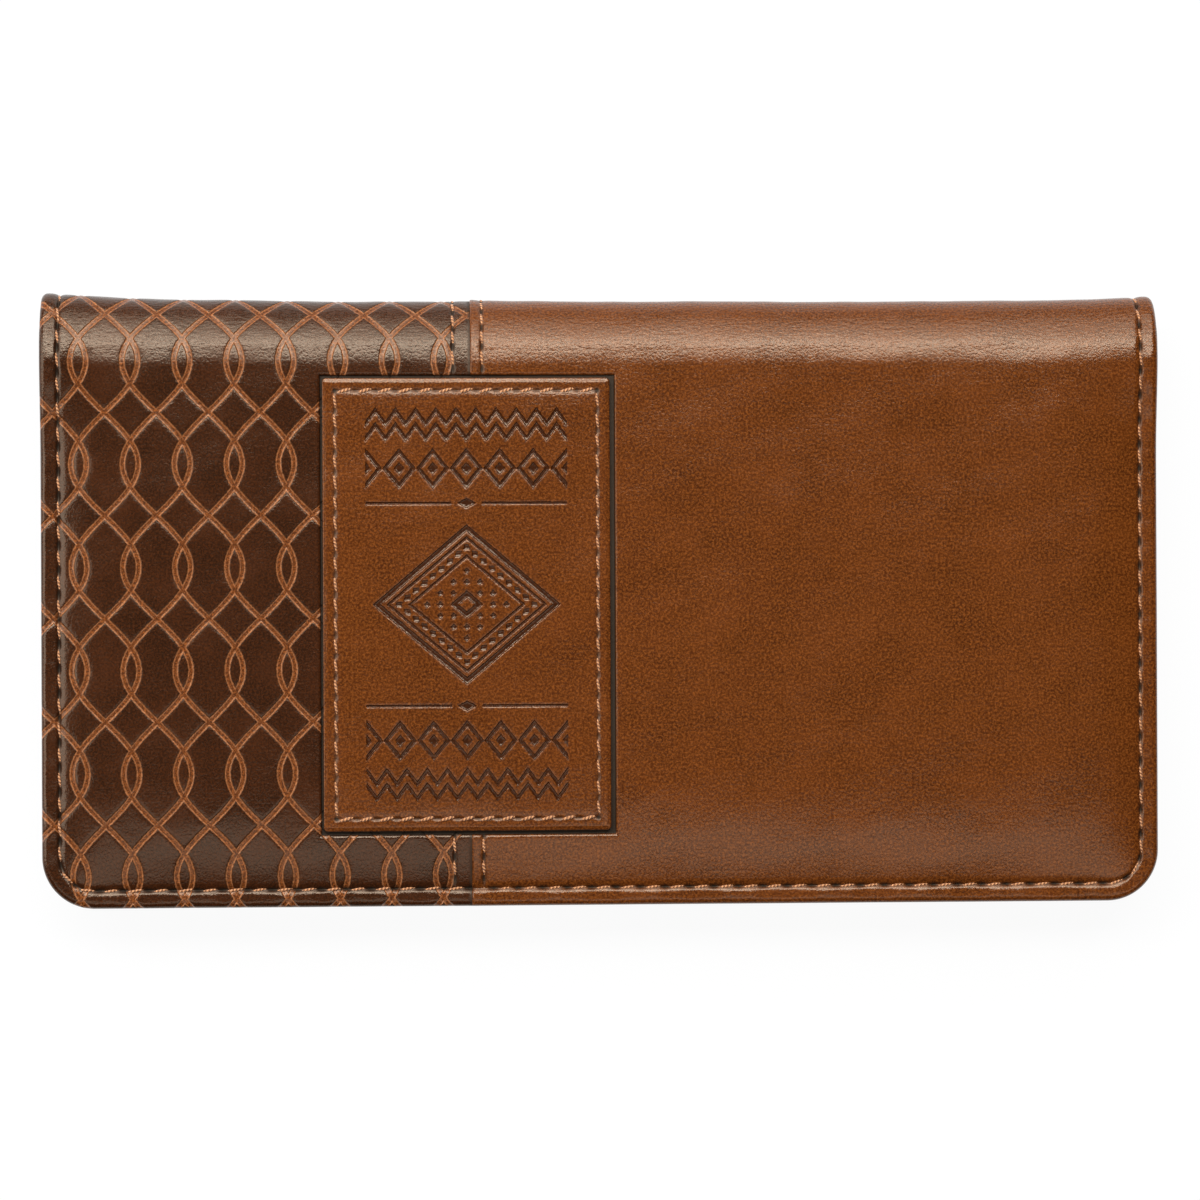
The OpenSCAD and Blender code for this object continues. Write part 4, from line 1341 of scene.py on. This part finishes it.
# %% Pockets
def pocket_rings(rise):
    """Inset and height over the lining, from the sewn border to the top."""
    bend = min(1.0, (rise - 0.6) / 2)
    border = (
        (0, 0.1), (0, 0.4), (0.12, 0.5), (0.6, 0.46), (1.1, 0.5), (1.9, 0.5), (2.3, 0.56),
        (2.62, 0.7), (2.78, 0.9))
    deep_wall = ((2.8, 1.0), (2.8, 1.0 + 0.5 * (rise - bend - 1.0)))
    low_wall = ((2.8, 0.95), (2.85, 1.0))
    wall = deep_wall if rise > 3 else low_wall
    rings = [(inset, 0, height) for inset, height in border + wall]
    return rings + quarter_round(2.9, 0, rise, bend) + level_rings((4.4, 5.2, 6.2), 0, rise)


def pocket_piece(name, base_z, sign, body):
    """sign is 1 for a pocket that faces up and -1 for one that faces down."""
    (x0, y0, z0), (x1, mouth, z1) = box_mm(name)
    rise = z1 - z0
    rings = pocket_rings(rise)
    hem_y = mouth - 2.5
    fine = [(hem_y, 1.2, 0.18), (mouth, 1.0, 0.2)]
    inner_y = spaced(y0 + rings[-1][0], mouth - 0.12, 1.0, fine)[1:] + [mouth - 0.03, mouth]
    rows = Lines(y0, mouth, inner_y, rings, True, False)
    rows.drop[-3:] = 0.06, 0.16, 0.3
    grid = Grid(name + "_leather", ringed(x0, x1, rings, 1.0), rows, rings, corner_r - 1.6)
    x, y = grid.x, grid.y
    height = np.where(grid.inset == no_edge, rise, grid.offset)
    on_top = smooth_rise((height - 0.8) / max(rise - 1.2, 0.4))
    # dark is the painted shade of the hem row's needle holes and trough.
    dip, dark = row_dip(y - hem_y, x / edge_pitch + 0.5, 0.5)
    fold_step = 0.10 * smooth_rise((y - hem_y - 0.1) / 0.35)
    slack = np.clip((mouth - y) / 20 + 0.2, 0, 1)
    sag = on_top * (0.30 + waves(x * 1.7 + 40, y * 1.7) * 0.8 * slack)
    height = height - np.clip(sag, 0, 1) - dip * on_top + fold_step * on_top - rows.drop[grid.j]
    height = np.clip(height, 0.05, rise)
    if sign < 0:
        turn_over(grid.mesh)
    piece = finished(
        grid.mesh, cognac, (x, y, base_z + sign * height), flat_place=(x + 200, y, height),
        press=np.clip(dark * on_top, 0, 1))
    dressed(thickened(piece, 0.45, -1), body, [name])
    sewn(
        name + "_stitches", straight_row(x1 - x0 - 8, hem_y), (2.9, 0.6, 0.02, 0.3), rise - 0.30,
        body, [name + "_thread"], level(base_z, sign))
    print(f"{name} rises {rise:.1f} mm")


pocket_piece("check_pocket", roll_r - hem_h, 1, "back_leaf")
pocket_piece("register_pocket", roll_r + hem_h, -1, "front_leaf")

# %% [markdown]
# ## Clear divider
# A clear sheet keeps ink from marking the checks below. It hangs from a tape sewn across the
# back leaf, climbs over the pocket's mouth and lies on the pocket. A simulated drop would give
# nearly the same, but a soft S curve is exact: the sheet's rows are spaced along that curve, so
# it keeps its real length.

# %% Clear divider
divider_steps = 24


def vinyl_finish(name):
    finish = Finish(
        name, Base_Color=(0.93, 0.96, 0.97, 1), Transmission_Weight=1.0, IOR=1.5,
        Specular_IOR_Level=0.5)
    haze = finish.noise(finish.stored("flat_place")["Vector"], 0.25, 3.0, 0.5)
    return finish.show(None, haze * 0.08 + 0.02)


def along_path(path, step):
    """Evenly spaced points of a path of (y, z) points, with the way walked to each."""
    path = np.array(path, float)
    way = np.concatenate([[0], np.cumsum(np.hypot(*np.diff(path, axis=0).T))])
    walked = np.linspace(0, way[-1], max(2, round(way[-1] / step) + 1))
    return walked, np.interp(walked, way, path[:, 0]), np.interp(walked, way, path[:, 1])


def divider_piece():
    (_, free_y, low_z), (half, hinge_y, high_z) = box_mm("clear_divider")
    top_z, hinge_z = high_z - 0.13, low_z + 0.14
    flat_y = hinge_y - 4.9
    path = [(free_y, top_z), (flat_y, top_z)]
    for n in range(1, divider_steps + 1):
        part = n / divider_steps
        z = top_z + (hinge_z - top_z) * float(smooth_rise(part))
        path.append((flat_y + part * (hinge_y - flat_y), z))
    walked, ys, zs = along_path(path, 0.5)
    length = walked[-1]
    corner = level_rings((0, 0.5, 1.2, 2.0, 3.0, 4.2, 5.5), share=0)
    columns = ringed(-half, half, corner, 1.5)
    grid = Grid("clear_flap", columns, ringed(0, length, corner, 0.5, True, False), corner, 4.0)
    x, way = grid.x, grid.y
    free = np.clip((length - way - 6) / 8, 0, 1)
    ripple = 0.05 * np.sin(x / 9 + 0.4) * np.sin(way / 13) * free
    places = (x, np.interp(way, walked, ys), np.interp(way, walked, zs) + ripple)
    piece = finished(grid.mesh, vinyl_finish("clear_vinyl"), places, flat_place=(x, way, 0 * x))
    dressed(thickened(piece, 0.2, 0), "divider", ["clear_divider"])
    print(f"divider sheet {length:.1f} mm long")


divider_piece()

# %% [markdown]
# ## Binding tape
# A strip of dark leather holds the divider's edge and is sewn down through both. It is small and
# nearly straight, so a box with bevelled long edges is enough: it could be cut from a grid too,
# but a box is closed from the start. Cuts across it let it dip a little at each stitch.

# %% Binding tape
def long_edges(builder):
    return [e for e in builder.edges if abs(e.verts[0].co.x - e.verts[1].co.x) > 1]


def tape_piece():
    low, high = box_mm("divider_binding")
    builder = bmesh.new()
    bmesh.ops.create_cube(builder, size=1.0)
    bmesh.ops.scale(builder, vec=high - low, verts=builder.verts)
    bmesh.ops.translate(builder, vec=(high + low) / 2, verts=builder.verts)
    bmesh.ops.bevel(
        builder, geom=long_edges(builder), offset=0.3, affect="EDGES", segments=3, profile=0.5,
        material=-1)
    bmesh.ops.subdivide_edges(
        builder, edges=long_edges(builder), cuts=150, use_grid_fill=True)
    mesh = built(builder, bpy.data.meshes.new("divider_tape"))
    x, y, z = points_of(mesh).T
    upper = np.clip((z - low[2]) / (high[2] - low[2]), 0, 1)
    dips = upper * 0.07 * (1 + np.sin(x * 2 * math.pi / edge_pitch))
    z = z - dips * smooth_rise((y - high[1] + 2.2) / 1.2)
    y = y + 0.08 * np.sin(x / 7) * upper
    piece = finished(mesh, tape_leather, (x, y, z), flat_place=(x, y, z), press=0 * x)
    dressed(piece, "back_leaf", ["divider_binding"])
    sewn(
        "divider_tape_stitches", straight_row(high[0] - low[0] - 4, high[1] - 1.0),
        (2.9, 0.6, 0.0, 0.25), high[2] - 0.05, "back_leaf", ["divider_binding_thread"],
        level(0.0))
    print(f"tape {high[0] - low[0]:.0f} mm long")


tape_piece()

# %% [markdown]
# ## Pen loop
# The pen loop is one elastic band, led from a sewn tab round the pen and back to the tab. A ring
# with a box below it would look stiff, so the band is one strip along a single path, thickened
# like the lining. A bar tack of short slanting stitches holds it.

# %% Pen loop
def elastic_finish(name):
    finish = Finish(name, Specular_IOR_Level=0.25, Sheen_Weight=0.2)
    x, way, _ = finish.parts(finish.stored("flat_place")["Vector"])
    ribs = (x * (2 * math.pi / 1.0)).cos()
    knit = (way * (2 * math.pi / 0.55) + abs((x * math.pi).sin()) * 1.2).cos()
    # The grooves between ribs and loops take the darker colour: painted shade.
    colour = finish.mix((ribs + knit * 0.6).step(-1.2, 1.2), shade(16, 13, 12), shade(60, 50, 44))
    return finish.show(colour, 0.75, ribs * 0.08 + knit * 0.04)


def pen_loop_piece():
    low, high = box_mm("pen_loop")
    half_t = 0.27
    radius = (high[2] - low[2]) / 2 - half_t
    middle_z, middle_y = (high[2] + low[2]) / 2, high[1] - (high[2] - low[2]) / 2
    base = roll_r - hem_h
    path = [(low[1], base + half_t), (middle_y - 2.6, base + half_t)]
    for n in range(29):
        a = math.radians(-78 + n * 11.2)
        path.append((middle_y + radius * math.cos(a), middle_z + radius * math.sin(a)))
    path += [(middle_y - 4.2, base + 0.80), (low[1], base + 0.78)]
    walked, ys, zs = along_path(path, 0.35)
    no_rings = [(0, 0, 0)]
    columns = ringed(low[0], high[0], no_rings, 0.5, False, False)
    rows = Lines(0, walked[-1], walked, no_rings, False, False)
    grid = Grid("elastic_loop", columns, rows, no_rings, 0)
    places, flat_place = (grid.x, ys[grid.j], zs[grid.j]), (grid.x, grid.y, 0 * grid.x)
    piece = finished(grid.mesh, elastic_finish("ribbed_elastic"), places, flat_place=flat_place)
    dressed(thickened(piece, 0.45, 0), "back_leaf", ["pen_loop"])
    tack_low, tack_high = box_mm("pen_loop_thread")
    tack_y = (tack_low[1] + tack_high[1]) / 2
    stitches = [
        slanted(low[0] + 1.2 + n * 1.05, tack_y, 0.0, 1.0, 0.35 * (-1) ** n) for n in range(13)]
    sewn(
        "bar_tack", stitches, (1.9, 0.55, 0.0, 0.25), base + 1.04, "back_leaf",
        ["pen_loop_thread"], level(0.0))
    print(f"elastic band {walked[-1]:.0f} mm long")


pen_loop_piece()
